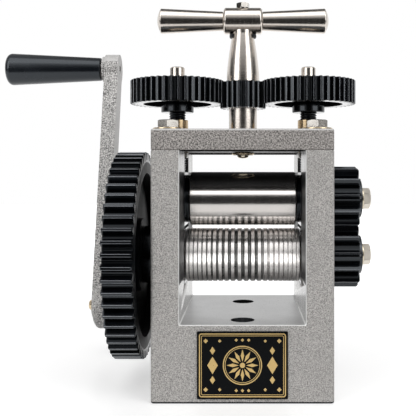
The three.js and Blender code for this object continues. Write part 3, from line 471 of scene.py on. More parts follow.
def lathe(profile, facets=ROUND, closed=False, soft=0.3):
    """A piece turned about Z. Profile points are (height, radius); a closed profile leaves a bore."""
    if soft:
        profile = softened(profile, soft, closed)
    vertices = []
    rings = []
    for height, radius in profile:
        ring = circle(radius, facets) if radius > 1e-6 else [(0, 0)]
        rings.append(range(len(vertices), len(vertices) + len(ring)))
        vertices += [(x, y, height) for x, y in ring]
    pairs = list(zip(rings, rings[1:]))
    if closed:
        pairs.append((rings[-1], rings[0]))
    faces = []
    for lower, upper in pairs:
        for k in range(facets):
            after = (k + 1) % facets
            corners = [lower[k % len(lower)], lower[after % len(lower)]]
            corners += [upper[after % len(upper)], upper[k % len(upper)]]
            kept = list(dict.fromkeys(corners))
            if len(kept) > 2:
                faces.append(kept)
    return cleaned(mesh_from(vertices, faces))


def disc_tube(low, high, inner, outer, soft=0.3):
    return lathe([(low, inner), (low, outer), (high, outer), (high, inner)], closed=True, soft=soft)


def pin(low, high, radius, facets=SMALL_ROUND):
    """A plain round cutter."""
    return lathe([(low, 0), (low, radius), (high, radius), (high, 0)], facets, soft=0)


def stepped(start, *sections):
    """The profile of a solid stepped shaft. Each section is (where it ends, its radius)."""
    points = [(start, 0)]
    for end, radius in sections:
        points += [(start, radius), (end, radius)]
        start = end
    return [*points, (start, 0)]


def rounded_end(end, radius, along, across):
    """Profile points from a flat end face out to the full radius, round a quarter of an ellipse."""
    angles = [math.radians(90 * step / 8) for step in range(9)]
    return [
        (end + along * (1 - math.cos(angle)), radius - across * (1 - math.sin(angle))) for angle in angles]


ALONG_X = Matrix(((0, 0, 1, 0), (1, 0, 0, 0), (0, 1, 0, 0), (0, 0, 0, 1)))  # Z to X, X to Y, Y to Z


def along_x(mesh, y=0.0, z=0.0):
    return moved(mesh, Matrix.Translation((0, y, z)) @ ALONG_X)


def half_turn(side):
    """What is drawn for the right side, turned about Z for the left."""
    return Matrix.Rotation(0 if side > 0 else math.pi, 4, "Z")


def crank_frame(height=0.0):
    """From the crank's own upright frame to its place in the mill."""
    tilted = Matrix.Translation((0, CRANK_Y, CRANK_Z)) @ Matrix.Rotation(CRANK_TILT, 4, "X")
    return tilted @ Matrix.Translation((0, 0, height))


def from_axis(point):
    return math.hypot(point.x, point.y)


# Gears

def involute(angle):
    return math.tan(angle) - angle


def gear_outline(teeth, module, addendum, dedendum, backlash, tooth_angle, tip_round):
    """Points (radius, angle) round a gear, with involute flanks, rounded tips and filleted roots."""
    pitch = teeth * module / 2
    base = pitch * math.cos(PRESSURE_ANGLE)
    root = pitch - dedendum * module
    tip = pitch + addendum * module
    half_pitch = (math.pi / 2 - backlash / module / 2) / teeth

    def half_angle(radius):
        local = math.acos(min(1, base / radius))
        return half_pitch + involute(PRESSURE_ANGLE) - involute(local)

    flank_start = max(root + 0.12 * module, min(base, pitch))
    rounding = min(tip_round, 0.3 * tip * half_angle(tip))
    root_half = half_angle(max(root, base))
    fillet = 0.22 * module / root
    side = [(root, root_half + fillet), (root + 0.07 * module, root_half + 0.25 * fillet)]
    if flank_start > root + 0.3 * module:
        side.append((root + 0.3 * module, root_half))
    for step in range(5):
        radius = flank_start + (tip - rounding - flank_start) * step / 4
        side.append((radius, half_angle(radius)))
    for step in range(1, TIP_STEPS + 1):
        turn = step * math.pi / 2 / TIP_STEPS
        radius = tip - rounding + rounding * math.sin(turn)
        side.append((radius, half_angle(tip - rounding) - rounding / tip * (1 - math.cos(turn))))
    points = []
    for k in range(teeth):
        middle = math.radians(tooth_angle) + 2 * math.pi * k / teeth
        points += [(radius, middle - angle) for radius, angle in side]
        points += [(radius, middle + angle) for radius, angle in reversed(side)]
    return points


def toothed_ring(
    tooth_angle, inner, low, high, teeth, module, backlash, tip_round, chamfer, addendum=1.0, dedendum=1.25,
):
    """A toothed ring about Z. Its teeth are chamfered at both ends and carry a painted highlight (material 1)
    along their tips.

    The addendum and the dedendum are in modules.
    """
    outline = gear_outline(teeth, module, addendum, dedendum, backlash, tooth_angle, tip_round)
    tip = max(radius for radius, angle in outline)
    count = len(outline)
    vertices = []
    for height, limit in (
        (low, tip - chamfer), (low + chamfer, tip), (high - chamfer, tip), (high, tip - chamfer),
    ):
        for radius, angle in outline:
            shown = min(radius, limit)
            vertices.append((shown * math.cos(angle), shown * math.sin(angle), height))
    for height in (low, high):
        vertices += [(inner * math.cos(angle), inner * math.sin(angle), height) for radius, angle in outline]
    faces = []
    for first, second in ((0, 1), (1, 2), (2, 3), (4, 0), (3, 5), (5, 4)):
        faces += quads(first * count, second * count, count)
    mesh = mesh_from(vertices, faces)
    half_tooth = count // teeth // 2
    for i in range(count):
        to_middle = abs(i % (2 * half_tooth) - half_tooth + 1)
        if 0 < to_middle <= TIP_STEPS:
            mesh.polygons[count + i].material_index = 1
    return cleaned(mesh)


def meshing_angle(other_angle, other_teeth, teeth, line_angle):
    """The tooth angle that puts a gear in mesh with another, whose centre lies back along line_angle."""
    return line_angle + 180 + 180 / teeth - (other_angle - line_angle) * other_teeth / teeth


# Fasteners

def hex_head(across_flats, height):
    """A forged hexagon head on Z = 0, its top corners turned off and a round face below."""
    half = across_flats / 2
    reach = across_flats / math.sqrt(3)
    dome = lathe([
        (HEAD_FOOT, 0), (HEAD_FOOT, reach + 1), (height - 0.75 * (reach - half), reach + 0.05),
        (height, half - HEAD_FOOT), (height, 0)], soft=0.15)
    head = combined(prism(circle(reach, 6), HEAD_FOOT - 0.05, height + 1), [dome], "INTERSECT")
    return joined(head, pin(0, HEAD_FOOT + 0.05, half - HEAD_FOOT - 0.05, ROUND))


def hex_bolt(across_flats, height, radius, length):
    shank = lathe([
        (-length, 0), (-length, radius - EDGE_BREAK), (-length + EDGE_BREAK, radius), (0.2, radius), (0.2, 0),
    ], SMALL_ROUND, soft=0)
    return joined(hex_head(across_flats, height), shank)


def threaded(low, high, radius, pitch, depth):
    """A threaded rod about Z: its radius follows a V thread that climbs one pitch a turn."""
    levels = int((high - low) / pitch * 8)
    rings = []
    for level in range(levels + 1):
        height = low + (high - low) * level / levels
        ends = min(1.0, (height - low) / pitch, (high - height) / pitch)
        ring = []
        for k in range(SMALL_ROUND):
            phase = (height / pitch - k / SMALL_ROUND) % 1
            ridge = min(1.0, 2.6 * (0.5 - abs(phase - 0.5)))
            shown = radius - depth * (1 - ridge * ends)
            angle = 2 * math.pi * k / SMALL_ROUND
            ring.append((shown * math.cos(angle), shown * math.sin(angle), height))
        rings.append(ring)
    return stacked(rings)


# Materials

COOL_SHEEN = (0.86, 0.93, 1.0, 1.0)


class Nodes:
    """A node tree with small helpers. A value that is a socket is linked, and any other value is set."""

    def __init__(self, tree):
        self.tree = tree

    def add(self, kind, inputs=None, **settings):
        node = self.tree.nodes.new(kind)
        for key, value in settings.items():
            setattr(node, key, value)
        for key, value in (inputs or {}).items():
            if isinstance(value, bpy.types.NodeSocket):
                self.tree.links.new(value, node.inputs[key])
            else:
                node.inputs[key].default_value = value
        return node

    def ramp(self, value, low, high, first, second, interpolation="LINEAR"):
        node = self.add("ShaderNodeMapRange", {
            "Value": value, "From Min": low, "From Max": high, "To Min": first, "To Max": second,
        }, interpolation_type=interpolation)
        return node.outputs["Result"]

    def calculate(self, operation, first, second):
        return self.add("ShaderNodeMath", {0: first, 1: second}, operation=operation).outputs[0]

    def length(self, vector):
        return self.add("ShaderNodeVectorMath", {0: vector}, operation="LENGTH").outputs["Value"]

    def seen_by(self, *rays):
        """1 for rays of the given kinds."""
        path = self.add("ShaderNodeLightPath")
        seen = path.outputs[rays[0]]
        for ray in rays[1:]:
            seen = self.calculate("MAXIMUM", seen, path.outputs[ray])
        return seen


class Shader(Nodes):
    """A Principled material with procedural helpers."""

    def __init__(self, name):
        self.material = bpy.data.materials.new(name)
        self.material.use_nodes = True
        super().__init__(self.material.node_tree)
        self.surface = self.tree.nodes["Principled BSDF"]

    def link(self, output, name):
        self.tree.links.new(output, self.surface.inputs[name])

    def set(self, **values):
        """Values of the surface's own sockets, their names written with underscores."""
        for name, value in values.items():
            self.surface.inputs[name.replace("_", " ")].default_value = value

    def place(self, scale):
        """Object coordinates times a scale on each axis, in cycles a metre."""
        coordinates = self.add("ShaderNodeTexCoord")
        mapping = self.add("ShaderNodeMapping", {"Vector": coordinates.outputs["Object"], "Scale": scale})
        return mapping.outputs["Vector"]

    def noise(self, scale, detail, roughness):
        node = self.add("ShaderNodeTexNoise", {
            "Vector": self.place(scale), "Scale": 1.0, "Detail": detail, "Roughness": roughness})
        return node.outputs["Fac"]

    def blend(self, factor, first, second):
        """A mix of two colours. The first may be a socket."""
        if not isinstance(first, bpy.types.NodeSocket):
            first = (*first, 1)
        node = self.add("ShaderNodeMix", {"Factor": factor, 6: first, 7: (*second, 1)}, data_type="RGBA")
        return node.outputs[2]

    def bump(self, height, distance, **below):
        return self.add("ShaderNodeBump", {"Height": height, "Distance": distance, **below}).outputs["Normal"]


def times(colour, factor):
    return tuple(min(1, c * factor) for c in colour)


def cast_paint(name, colour, cell, contrast):
    """Hammered grey paint over a sand casting. Cell is the size of its grain in millimetres."""
    shader = Shader(name)
    cycles = 1 / (cell * MILLIMETRE)
    grain = shader.noise((cycles,) * 3, 3.0, 0.62)
    fine = shader.noise((2.5 * cycles,) * 3, 2.0, 0.5)
    broad = shader.noise((22,) * 3, 2.0, 0.5)
    pits = times(colour, 1 - contrast)
    speckled = shader.blend(shader.ramp(grain, 0.36, 0.64, 0, 1), pits, times(colour, 1 + contrast))
    worn = shader.blend(shader.ramp(broad, 0.35, 0.7, 0, 0.3), speckled, times(colour, 0.86))
    shader.link(worn, "Base Color")
    shader.link(shader.ramp(fine, 0.3, 0.7, 0.42, 0.62), "Roughness")
    relief = shader.bump(grain, 0.45 * cell * MILLIMETRE)
    shader.link(shader.bump(fine, 0.05 * cell * MILLIMETRE, Normal=relief), "Normal")
    shader.set(Metallic=0.2)
    return shader.material


def worked_metal(name, colour, roughness, streaks, relief, stain=0.12):
    """Turned, ground or brushed metal: streaks follow the tool, with a broad uneven tint.

    The streaks are in cycles a metre along each axis, and their relief is in micrometres.
    """
    shader = Shader(name)
    lines = shader.noise(streaks, 4.0, 0.65)
    broad = shader.noise((45,) * 3, 2.0, 0.5)
    dull = times(colour, 1 - stain)
    streaked = shader.blend(shader.ramp(lines, 0.3, 0.7, 0, 1), dull, colour)
    shader.link(shader.blend(shader.ramp(broad, 0.35, 0.75, 0, 0.5), streaked, dull), "Base Color")
    shader.link(shader.ramp(lines, 0.3, 0.7, roughness * 0.75, roughness * 1.3), "Roughness")
    shader.link(shader.bump(lines, relief * MICROMETRE), "Normal")
    shader.set(Metallic=1.0)
    return shader.material


def dark_coat(name, colour, worn, patches, grain, relief, smooth, rough, specular):
    """A thin dark coat over a fine grain. It is paler, by the factor worn, in broad patches."""
    shader = Shader(name)
    cycles, detail, roughness = grain
    fine = shader.noise((cycles,) * 3, detail, roughness)
    broad = shader.noise((patches,) * 3, 3.0, 0.6)
    shader.link(shader.blend(shader.ramp(broad, 0.35, 0.7, 0, 1), colour, times(colour, worn)), "Base Color")
    shader.link(shader.ramp(broad, 0.3, 0.7, smooth, rough), "Roughness")
    shader.link(shader.bump(fine, relief * MICROMETRE), "Normal")
    shader.set(Specular_IOR_Level=specular, Specular_Tint=COOL_SHEEN)
    return shader.material


def black_oxide(name, colour=(0.0014, 0.0017, 0.0023), smooth=0.1, rough=0.18, specular=0.6):
    """Blackened steel with an oily sheen and faint machining marks."""
    return dark_coat(name, colour, 1.9, 60, (900, 3.0, 0.6), 4, smooth, rough, specular)


def moulded(name, colour, roughness, specular):
    """Satin moulded plastic or rubber with a fine stipple and faint smudges."""
    smooth = roughness * 0.85
    rough = roughness * 1.2
    return dark_coat(name, colour, 1.5, 35, (1500, 2.0, 0.5), 20, smooth, rough, specular)


STEEL = (0.68, 0.65, 0.625)
NICKEL = (0.72, 0.665, 0.61)

# Grains that run in no direction, in cycles a metre
EVEN = (260, 260, 260)
FLANK = (300, 300, 300)
EDGE = (500, 500, 500)

materials = {
    "paint": cast_paint("cast_paint", (0.43, 0.415, 0.4), 0.68, 0.55),
    "plate_paint": cast_paint("plate_paint", (0.32, 0.3, 0.285), 0.95, 0.9),
    "arm_paint": cast_paint("arm_paint", (0.43, 0.42, 0.41), 1.0, 1.05),
    # Near white paint for a painted highlight along the window's edges
    "window_edge_highlight": cast_paint("window_edge_highlight_paint", (0.85, 0.85, 0.84), 0.6, 0.1),
    # Paler paint on rounded edges: partly edge wear, partly a painted highlight where the edges catch the
    # light
    "paint_edge": cast_paint("cast_paint_edge", (0.56, 0.55, 0.54), 0.6, 0.15),
    "wall": worked_metal("machined_wall", (0.7, 0.69, 0.68), 0.26, (60, 900, 60), 4, 0.5),
    # Near black paint that stands in for shade: beside the rolls, in the bench holes, along the foot, under
    # the plate and under the retainer washer
    "painted_shade": black_oxide("painted_shade_black", (0.006, 0.006, 0.0065), 0.4, 0.5, 0.2),
    "bay_floor": worked_metal("milled_floor", (0.6, 0.6, 0.6), 0.34, (1100, 1100, 1100), 30, 0.4),
    "roll": worked_metal("roll_steel", STEEL, 0.17, (3200, 25, 25), 15),
    "grooved": worked_metal("grooved_steel", (0.9, 0.87, 0.85), 0.27, (3600, 25, 25), 20),
    # Dark steel on the groove flanks, a painted shade in the grooves
    "groove": worked_metal("groove_flank_shade", (0.26, 0.26, 0.255), 0.3, FLANK, 10),
    # Paler steel on the right-hand groove flanks, a painted highlight
    "lit_groove": worked_metal("lit_groove_flank", (0.6, 0.58, 0.57), 0.3, FLANK, 10),
    "shaft": worked_metal("shaft_steel", (0.5, 0.49, 0.47), 0.25, (2600, 40, 40), 10),
    "nickel": worked_metal("nickel", NICKEL, 0.21, (40, 40, 2600), 6),
    "nickel_bar": worked_metal("nickel_bar", NICKEL, 0.19, (2600, 40, 40), 6),
    "bolt": worked_metal("bolt_nickel", (0.62, 0.59, 0.55), 0.17, EVEN, 10),
    "plated": worked_metal("plated_steel", (0.78, 0.7, 0.55), 0.2, EVEN, 10),
    "satin_plated": worked_metal("satin_plated_steel", (0.96, 0.9, 0.8), 0.45, EVEN, 10),
    "washer": worked_metal("gilt_washer", (0.8, 0.66, 0.46), 0.26, EVEN, 10),
    "brass": worked_metal("brass", (0.66, 0.5, 0.31), 0.2, (60, 60, 2200), 10, 0.4),
    "bronze": worked_metal("bronze", (0.55, 0.34, 0.16), 0.3, (2200, 60, 60), 10),
    "spring": worked_metal("spring_steel", (0.4, 0.4, 0.4), 0.3, FLANK, 10),
    "black": black_oxide("black_oxide"),
    "gear_face": black_oxide("gear_face", smooth=0.3, rough=0.42, specular=0.45),
    "gear_web": black_oxide("gear_web", smooth=0.42, rough=0.55, specular=0.08),
    # Pale bluish steel on the tooth tips, a painted highlight
    "painted_highlight_edge": worked_metal("tooth_tip_highlight", (0.32, 0.335, 0.36), 0.36, EDGE, 6),
    "rim": worked_metal("bright_gear_face", (0.42, 0.42, 0.43), 0.22, (400, 400, 400), 6),
    "painted_underside_shade": moulded("painted_underside_shade", (0.004, 0.004, 0.004), 0.9, 0.0),
    "rubber": moulded("black_rubber", (0.008, 0.008, 0.009), 0.5, 0.3),
    "grip": moulded("grip_plastic", (0.0025, 0.0035, 0.0055), 0.24, 0.66),
    "label": moulded("label_black", (0.0012, 0.0012, 0.0014), 0.2, 0.1),
    "gold": worked_metal("label_gold", (0.78, 0.56, 0.24), 0.36, EDGE, 10),
}


# Pieces

def finished(title, mesh, finishes):
    """A smooth shaded object in metres, with its finishes in order."""
    mesh.transform(Matrix.Scale(MILLIMETRE, 4))
    mesh.name = title
    for finish in finishes:
        mesh.materials.append(materials[finish])
    mesh.shade_smooth()
    obj = bpy.data.objects.new(title, mesh)
    bpy.context.scene.collection.objects.link(obj)
    return obj


def piece(node, mesh, *finishes, slot, name=None, bevel=0.0, bevel_angle=35, edge=None, smooth_angle=32):
    """A finished piece that rides on its node's body, and replaces the node unless it has its own name."""
    if edge:
        finishes = (*finishes, edge)
    obj = finished(name or f"{node}_look", mesh, finishes)
    if bevel:
        modifier = obj.modifiers.new("edges", "BEVEL")
        modifier.width = bevel * MILLIMETRE
        modifier.segments = 3
        modifier.limit_method = "ANGLE"
        modifier.angle_limit = math.radians(bevel_angle)
        modifier.use_clamp_overlap = True
        modifier.miter_outer = "MITER_ARC"
        if edge:
            modifier.material = len(finishes) - 1
    else:
        mesh.set_sharp_from_angle(angle=math.radians(smooth_angle))
    normals = obj.modifiers.new("normals", "WEIGHTED_NORMAL")
    normals.keep_sharp = True
    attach(obj, node_body[node])
    if name is None:
        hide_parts(node)
    return obj


def dress(node, finish):
    """A CAD node that stays as it is, with a procedural finish."""
    mesh = frame["nodes"][node].data
    mesh.materials.clear()
    mesh.materials.append(materials[finish])


def paint_faces(mesh, index, test):
    """Gives a material index to the faces whose centre, in millimetres, and normal pass the test."""
    for face in mesh.polygons:
        if test(face.center, face.normal):
            face.material_index = index


def slab(low, high, low_edge, high_edge):
    """The frame's outline raised from low to high, its edges rounded by the given radii."""
    turns = [math.pi / 2 * step / 4 for step in range(5)]
    levels = [(low + low_edge * (1 - math.cos(turn)), low_edge * (1 - math.sin(turn))) for turn in turns]
    levels += [(high - high_edge * (1 - math.sin(turn)), high_edge * (1 - math.cos(turn))) for turn in turns]
    rings = []
    for height, inset in levels:
        outline = rounded_rectangle(HALF_WIDTH - inset, HALF_DEPTH - inset, CORNER_ROUND - inset)
        rings.append([(x, y, height) for x, y in outline])
    return stacked(rings)


def window_cutter():
    """The window with a small fillet along its floor, widening to a chamfer at both ends."""
    past = 1
    rings = []
    for y, grown in (
        (-HALF_DEPTH - past, past + WINDOW_CHAMFER),
        (-HALF_DEPTH + WINDOW_CHAMFER, 0),
        (HALF_DEPTH - WINDOW_CHAMFER, 0),
        (HALF_DEPTH + past, past + WINDOW_CHAMFER),
    ):
        side = HALF_WINDOW + grown
        floor = WINDOW_FLOOR - grown
        left = [(-side, CASTING_TOP + PAST), (-side, floor + FLOOR_FILLET), (-side + FLOOR_FILLET, floor)]
        right = [(-x, z) for x, z in reversed(left)]
        rings.append([(x, y, z) for x, z in left + right])
    return cleaned(stacked(rings))


def frame_casting():
    slots = block(
        (-HALF_WIDTH - PAST, -HALF_SLOT, SLOT_FLOOR), (HALF_WIDTH + PAST, HALF_SLOT, CASTING_TOP + PAST))
    upper = cut(slab(0, CASTING_TOP, FOOT_ROUND, SEAM_ROUND), window_cutter(), slots)
    lug_back = HALF_DEPTH - LUG_SUNK
    lug_outline = [
        (lug_back, CRANK_Z - LUG_RADIUS), *arc(CRANK_Y, CRANK_Z, LUG_RADIUS, -90, 180, 32),
        (lug_back, CRANK_Z + LUG_RADIUS)]
    lug = moved(prism(lug_outline, LUG_OUTER_X, LUG_INNER_X), ALONG_X)
    bush_seat = pin(LUG_OUTER_X - PAST, LUG_INNER_X + 1, CRANK_BUSH_RADIUS + BORE_FIT, ROUND)
    collar_seat = pin(LUG_INNER_X, LUG_INNER_X + COLLAR_BORE_DEPTH, CRANK_COLLAR_RADIUS + RUNNING_FIT, ROUND)
    tools = [along_x(bush_seat, CRANK_Y, CRANK_Z), along_x(collar_seat, CRANK_Y, CRANK_Z)]
    for y in BENCH_HOLES_Y:
        tools.append(at(pin(-PAST, WINDOW_FLOOR + PAST, BENCH_HOLE_RADIUS, HOLE_ROUND), 0, y))
    for x in (-WALL_CENTRE, WALL_CENTRE):
        for y in (-PLATE_BOLT_Y, PLATE_BOLT_Y):
            tools.append(at(pin(CASTING_TOP - BOLT_HOLE_DEPTH, CASTING_TOP + PAST, BOLT_HOLE_RADIUS), x, y))
    mesh = split_at(cut(fused(upper, lug), *tools), PAINTED_SHADE_BOTTOM, PAINTED_SHADE_TOP)

    def machined(centre, normal):
        facing_out = abs(centre.y) > HALF_DEPTH - NEAR or abs(centre.x) > HALF_WIDTH - NEAR
        if facing_out and centre.y < HALF_DEPTH + NEAR:
            return False
        inside = abs(centre.x) < HALF_WINDOW + NEAR and WINDOW_FLOOR - NEAR < centre.z < CASTING_TOP - NEAR
        slot = abs(centre.y) < HALF_SLOT + NEAR and centre.z > SLOT_FLOOR - NEAR
        off_axis = math.hypot(centre.y - CRANK_Y, centre.z - CRANK_Z)
        bore = off_axis < CRANK_COLLAR_RADIUS + 0.5 and centre.y > HALF_DEPTH - 1
        return inside or slot or bore

    # Painted shade: the walls beside the rolls and the bench holes get near black paint
    def in_painted_shade(centre, normal):
        on_wall = abs(abs(centre.x) - HALF_WINDOW) < NEAR and abs(normal.x) > 0.9
        near_hole = abs(centre.x) < BENCH_HOLE_RADIUS and abs(centre.y) < HALF_DEPTH - 1
        bench_hole = near_hole and abs(normal.z) < 0.5
        return bench_hole or (on_wall and PAINTED_SHADE_BOTTOM < centre.z < PAINTED_SHADE_TOP)

    def milled(centre, normal):
        return abs(centre.z - WINDOW_FLOOR) < NEAR and normal.z > 0.9

    # Painted highlight: the window's chamfers and floor fillets get near white paint
    def painted_highlight_edge(centre, normal):
        in_window = abs(centre.x) < HALF_WINDOW + 2 and WINDOW_FLOOR - 2 < centre.z < CASTING_TOP
        chamfer = 0.3 < abs(normal.y) < 0.95 and abs(centre.y) > HALF_DEPTH - 1
        fillet = abs(normal.x) > 0.3 and normal.z > 0.3
        return in_window and (chamfer or fillet)

    # A painted shadow line along the foot's rounding
    def foot_line(centre, normal):
        return centre.z < FOOT_ROUND and -0.99 < normal.z < -0.1

    for index, test in ((1, machined), (2, in_painted_shade), (3, milled), (4, painted_highlight_edge), (2, foot_line)):
        paint_faces(mesh, index, test)
    piece("frame_casting", mesh, "paint", "wall", "painted_shade", "bay_floor", "window_edge_highlight", slot="cast_paint",
          bevel=0.3, edge="paint_edge")


def top_plate():
    low = PLATE_BOTTOM - 2
    high = PLATE_TOP + 2
    tools = [
        pin(low, high, STEM_JOURNAL_RADIUS + RUNNING_FIT, ROUND),
        pin(PLATE_BOTTOM + STEM_JOURNAL, high, STEM_RADIUS + RUNNING_FIT, ROUND),
    ]
    for side in (-1, 1):
        tools.append(at(pin(low, high, THREAD_BUSH_RADIUS + BORE_FIT, ROUND), side * SCREW_X))
        for y in (-PLATE_BOLT_Y, PLATE_BOLT_Y):
            tools.append(at(pin(low, high, BOLT_HOLE_RADIUS), side * WALL_CENTRE, y))
    recess_top = PLATE_BOTTOM + RECESS_DEPTH
    recess = block((-HALF_WINDOW, RECESS_FRONT_Y, low), (HALF_WINDOW, RECESS_REAR_Y, recess_top))
    mesh = cut(slab(PLATE_BOTTOM, PLATE_TOP, SEAM_ROUND, PLATE_ROUND), recess, *tools)

    # Painted shade under the plate: the underside is painted near black and the recess roof dark
    def underside(centre, normal):
        return normal.z < -0.9 and centre.z < PLATE_BOTTOM + NEAR

    def recess_roof(centre, normal):
        return normal.z < -0.9 and abs(centre.z - recess_top) < NEAR

    # The rounding along the plate's top edge gets the paler edge paint, a painted highlight
    def rounding(centre, normal):
        return 0.15 < normal.z < 0.95

    for index, test in ((1, underside), (2, recess_roof), (3, rounding)):
        paint_faces(mesh, index, test)
    piece("top_plate", mesh, "plate_paint", "painted_underside_shade", "painted_shade", "paint_edge", slot="cast_paint")


def plate_fasteners():
    washer_base = PLATE_TOP + SEAT_GAP
    bolt_base = washer_base + PLATE_WASHER + SEAT_GAP
    for depth_name, depth in (("front", -1), ("rear", 1)):
        for side_name, side in SIDES:
            x = side * WALL_CENTRE
            y = depth * PLATE_BOLT_Y
            end = f"{depth_name}_{side_name}"
            washer = disc_tube(0, PLATE_WASHER, BOLT_HOLE_RADIUS, PLATE_WASHER_RADIUS, soft=0.9)
            piece(f"plate_washer_{end}", at(washer, x, y, washer_base), "washer", slot="plated_steel")
            bolt = hex_bolt(BOLT_FLATS, BOLT_HEAD, BOLT_RADIUS, PLATE_BOLT_LENGTH)
            turned = moved(bolt, Matrix.Rotation(math.pi / 2, 4, "Z"))
            piece(f"plate_bolt_{end}", at(turned, x, y, bolt_base), "bolt", slot="plated_steel")


def bearing_blocks():
    """The four blocks and their bushes. The upper blocks have a boss, and a pocket for the screw's foot."""
    half = WALL / 2
    for side_name, side in SIDES:
        for level, centre_z, below, above in (
            ("lower", LOWER_ROLL_Z, LOWER_BLOCK_DROP, BLOCK_REACH),
            ("upper", UPPER_ROLL_Z, BLOCK_REACH, UPPER_BLOCK_RISE),
        ):
            mesh = block((-half, -BLOCK_HALF_DEPTH, -below), (half, BLOCK_HALF_DEPTH, above))
            tools = [along_x(pin(-WALL, WALL, BUSH_SEAT, ROUND))]
            if level == "upper":
                boss = lathe(stepped(-half - BLOCK_BOSS, (0, BLOCK_BOSS_RADIUS)))
                mesh = fused(mesh, along_x(boss))
                tools.append(pin(-BLOCK_REACH - 1, -BLOCK_REACH + SPRING_POCKET_DEPTH, SPRING_POCKET_RADIUS))
                pocket_floor = UPPER_BLOCK_RISE - SCREW_POCKET_DEPTH
                pocket = pin(pocket_floor, UPPER_BLOCK_RISE + 1, SCREW_FOOT_RADIUS + RUNNING_FIT)
                tools.append(at(pocket, SCREW_X - WALL_CENTRE))
            else:
                tools.append(pin(BLOCK_REACH - SPRING_POCKET_DEPTH, BLOCK_REACH + 1, SPRING_POCKET_RADIUS))
            place = Matrix.Translation((side * WALL_CENTRE, 0, centre_z)) @ half_turn(side)
            mesh = moved(cut(mesh, *tools), place)
            piece(f"{level}_{side_name}_block", mesh, "black", slot="black_oxide", bevel=0.4)
            inner_end = half + (BLOCK_BOSS if level == "upper" else 0)
            bush = along_x(disc_tube(-inner_end, half, JOURNAL_RADIUS + RUNNING_FIT, BUSH_RADIUS))
            piece(f"{level}_{side_name}_bush", moved(bush, place), "bronze", slot="bronze")


def lift_springs():
    """Open coils between the blocks. The real ones stretch as the upper block lifts; these are one fixed
    mesh.
    """
    low = LOWER_ROLL_Z + BLOCK_REACH - SPRING_POCKET_DEPTH + SEAT_GAP
    high = UPPER_ROLL_Z - BLOCK_REACH + SPRING_POCKET_DEPTH - SEAT_GAP
    wire = SPRING_WIRE / 2
    steps = SPRING_COILS * 24
    for side_name, side in SIDES:
        rings = []
        for step in range(steps + 1):
            angle = 2 * math.pi * SPRING_COILS * step / steps
            outward = Vector((math.cos(angle), math.sin(angle), 0))
            climb = (step / steps - SPRING_FLAT_SHARE) / (1 - 2 * SPRING_FLAT_SHARE)
            height = low + wire + (high - low - 2 * wire) * min(max(climb, 0), 1)
            middle = outward * (SPRING_RADIUS - wire) + Vector((0, 0, height))
            rings.append([middle + outward * across + Vector((0, 0, up)) for across, up in circle(wire, 8)])
        node = f"{side_name}_lift_spring"
        mesh = at(cleaned(stacked(rings)), side * WALL_CENTRE)
        obj = finished(f"{node}_look", mesh, ["spring"])
        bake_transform(obj)
        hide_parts(node)


def groove_profile():
    """V grooves that widen from the roll's ends to its middle, with even lands between them."""
    widths = []
    for k in range(GROOVES):
        swell = math.sin(math.pi * (k + 0.5) / GROOVES) ** 3
        widths.append(SMALLEST_GROOVE + (LARGEST_GROOVE - SMALLEST_GROOVE) * swell)
    land = (2 * LOWER_HALF - sum(widths)) / (GROOVES + 1)
    points = []
    x = -LOWER_HALF + land
    for width in widths:
        points += [(x, ROLL_RADIUS), (x + width / 2, ROLL_RADIUS - width / 2), (x + width, ROLL_RADIUS)]
        x += width + land
    return points


def roller(half, grooves, left_end, left_radius, soft):
    """A roll and its shaft, still along Z."""
    chamfer = ROLL_RADIUS - EDGE_BREAK
    right_end = SYNC_NOSE_X - SHAFT_INSET
    profile = [
        (left_end, 0), (left_end, left_radius),
        (-JOURNAL_END_X, left_radius), (-JOURNAL_END_X, JOURNAL_RADIUS),
        (-half, JOURNAL_RADIUS), (-half, chamfer), (-half + EDGE_BREAK, ROLL_RADIUS),
        *grooves,
        (half - EDGE_BREAK, ROLL_RADIUS), (half, chamfer), (half, JOURNAL_RADIUS),
        (JOURNAL_END_X, JOURNAL_RADIUS), (JOURNAL_END_X, GEAR_SEAT_RADIUS),
        (right_end, GEAR_SEAT_RADIUS), (right_end, 0)]
    return lathe(profile, ROLL_ROUND, soft=soft)


def rollers():
    def in_groove(centre, normal):
        return abs(centre.z) < LOWER_HALF - 0.7 and abs(normal.z) > 0.35

    def in_lit_groove(centre, normal):
        return in_groove(centre, normal) and centre.z > LIT_GROOVES_X

    lower = roller(LOWER_HALF, groove_profile(), DRIVE_NOSE_X + SHAFT_INSET, GEAR_SEAT_RADIUS, 0.12)
    upper = roller(UPPER_HALF, [], -HALF_WIDTH, JOURNAL_RADIUS - 0.01, 0.2)
    # Groove flanks get a painted shade, and to the right a painted highlight
    paint_faces(lower, 1, in_groove)
    paint_faces(lower, 2, in_lit_groove)
    return (
        piece("lower_roller", along_x(lower, 0, LOWER_ROLL_Z), "grooved", "groove", "lit_groove",
              slot="roll_steel"),
        piece("upper_roller", along_x(upper, 0, UPPER_ROLL_Z), "roll", slot="roll_steel"),
    )


def sync_gears():
    teeth = SYNC_TEETH["teeth"]
    inset_inner = SYNC_INNER_X + 0.5
    inset_outer = SYNC_OUTER_X - 0.5
    bore = GEAR_SEAT_RADIUS + BORE_FIT
    for level, z, tooth_angle in (
        ("lower", LOWER_ROLL_Z, SYNC_TOOTH_ANGLE),
        ("upper", UPPER_ROLL_Z, meshing_angle(SYNC_TOOTH_ANGLE, teeth, teeth, 90)),
    ):
        ring = toothed_ring(tooth_angle, SYNC_RING_INNER, SYNC_INNER_X, SYNC_OUTER_X, **SYNC_TEETH)
        hub = lathe([
            (JOURNAL_END_X, bore), (JOURNAL_END_X, SYNC_HUB_RADIUS), (inset_inner, SYNC_HUB_RADIUS),
            (inset_inner, SYNC_RING_INNER), (inset_outer, SYNC_RING_INNER), (inset_outer, SYNC_HUB_RADIUS),
            (SYNC_NOSE_X, SYNC_HUB_RADIUS - 0.4), (SYNC_NOSE_X, bore)], closed=True)
        gear = along_x(joined(ring, hub), 0, z)
        piece(f"{level}_sync_gear", gear, "black", "painted_highlight_edge", slot="black_oxide")


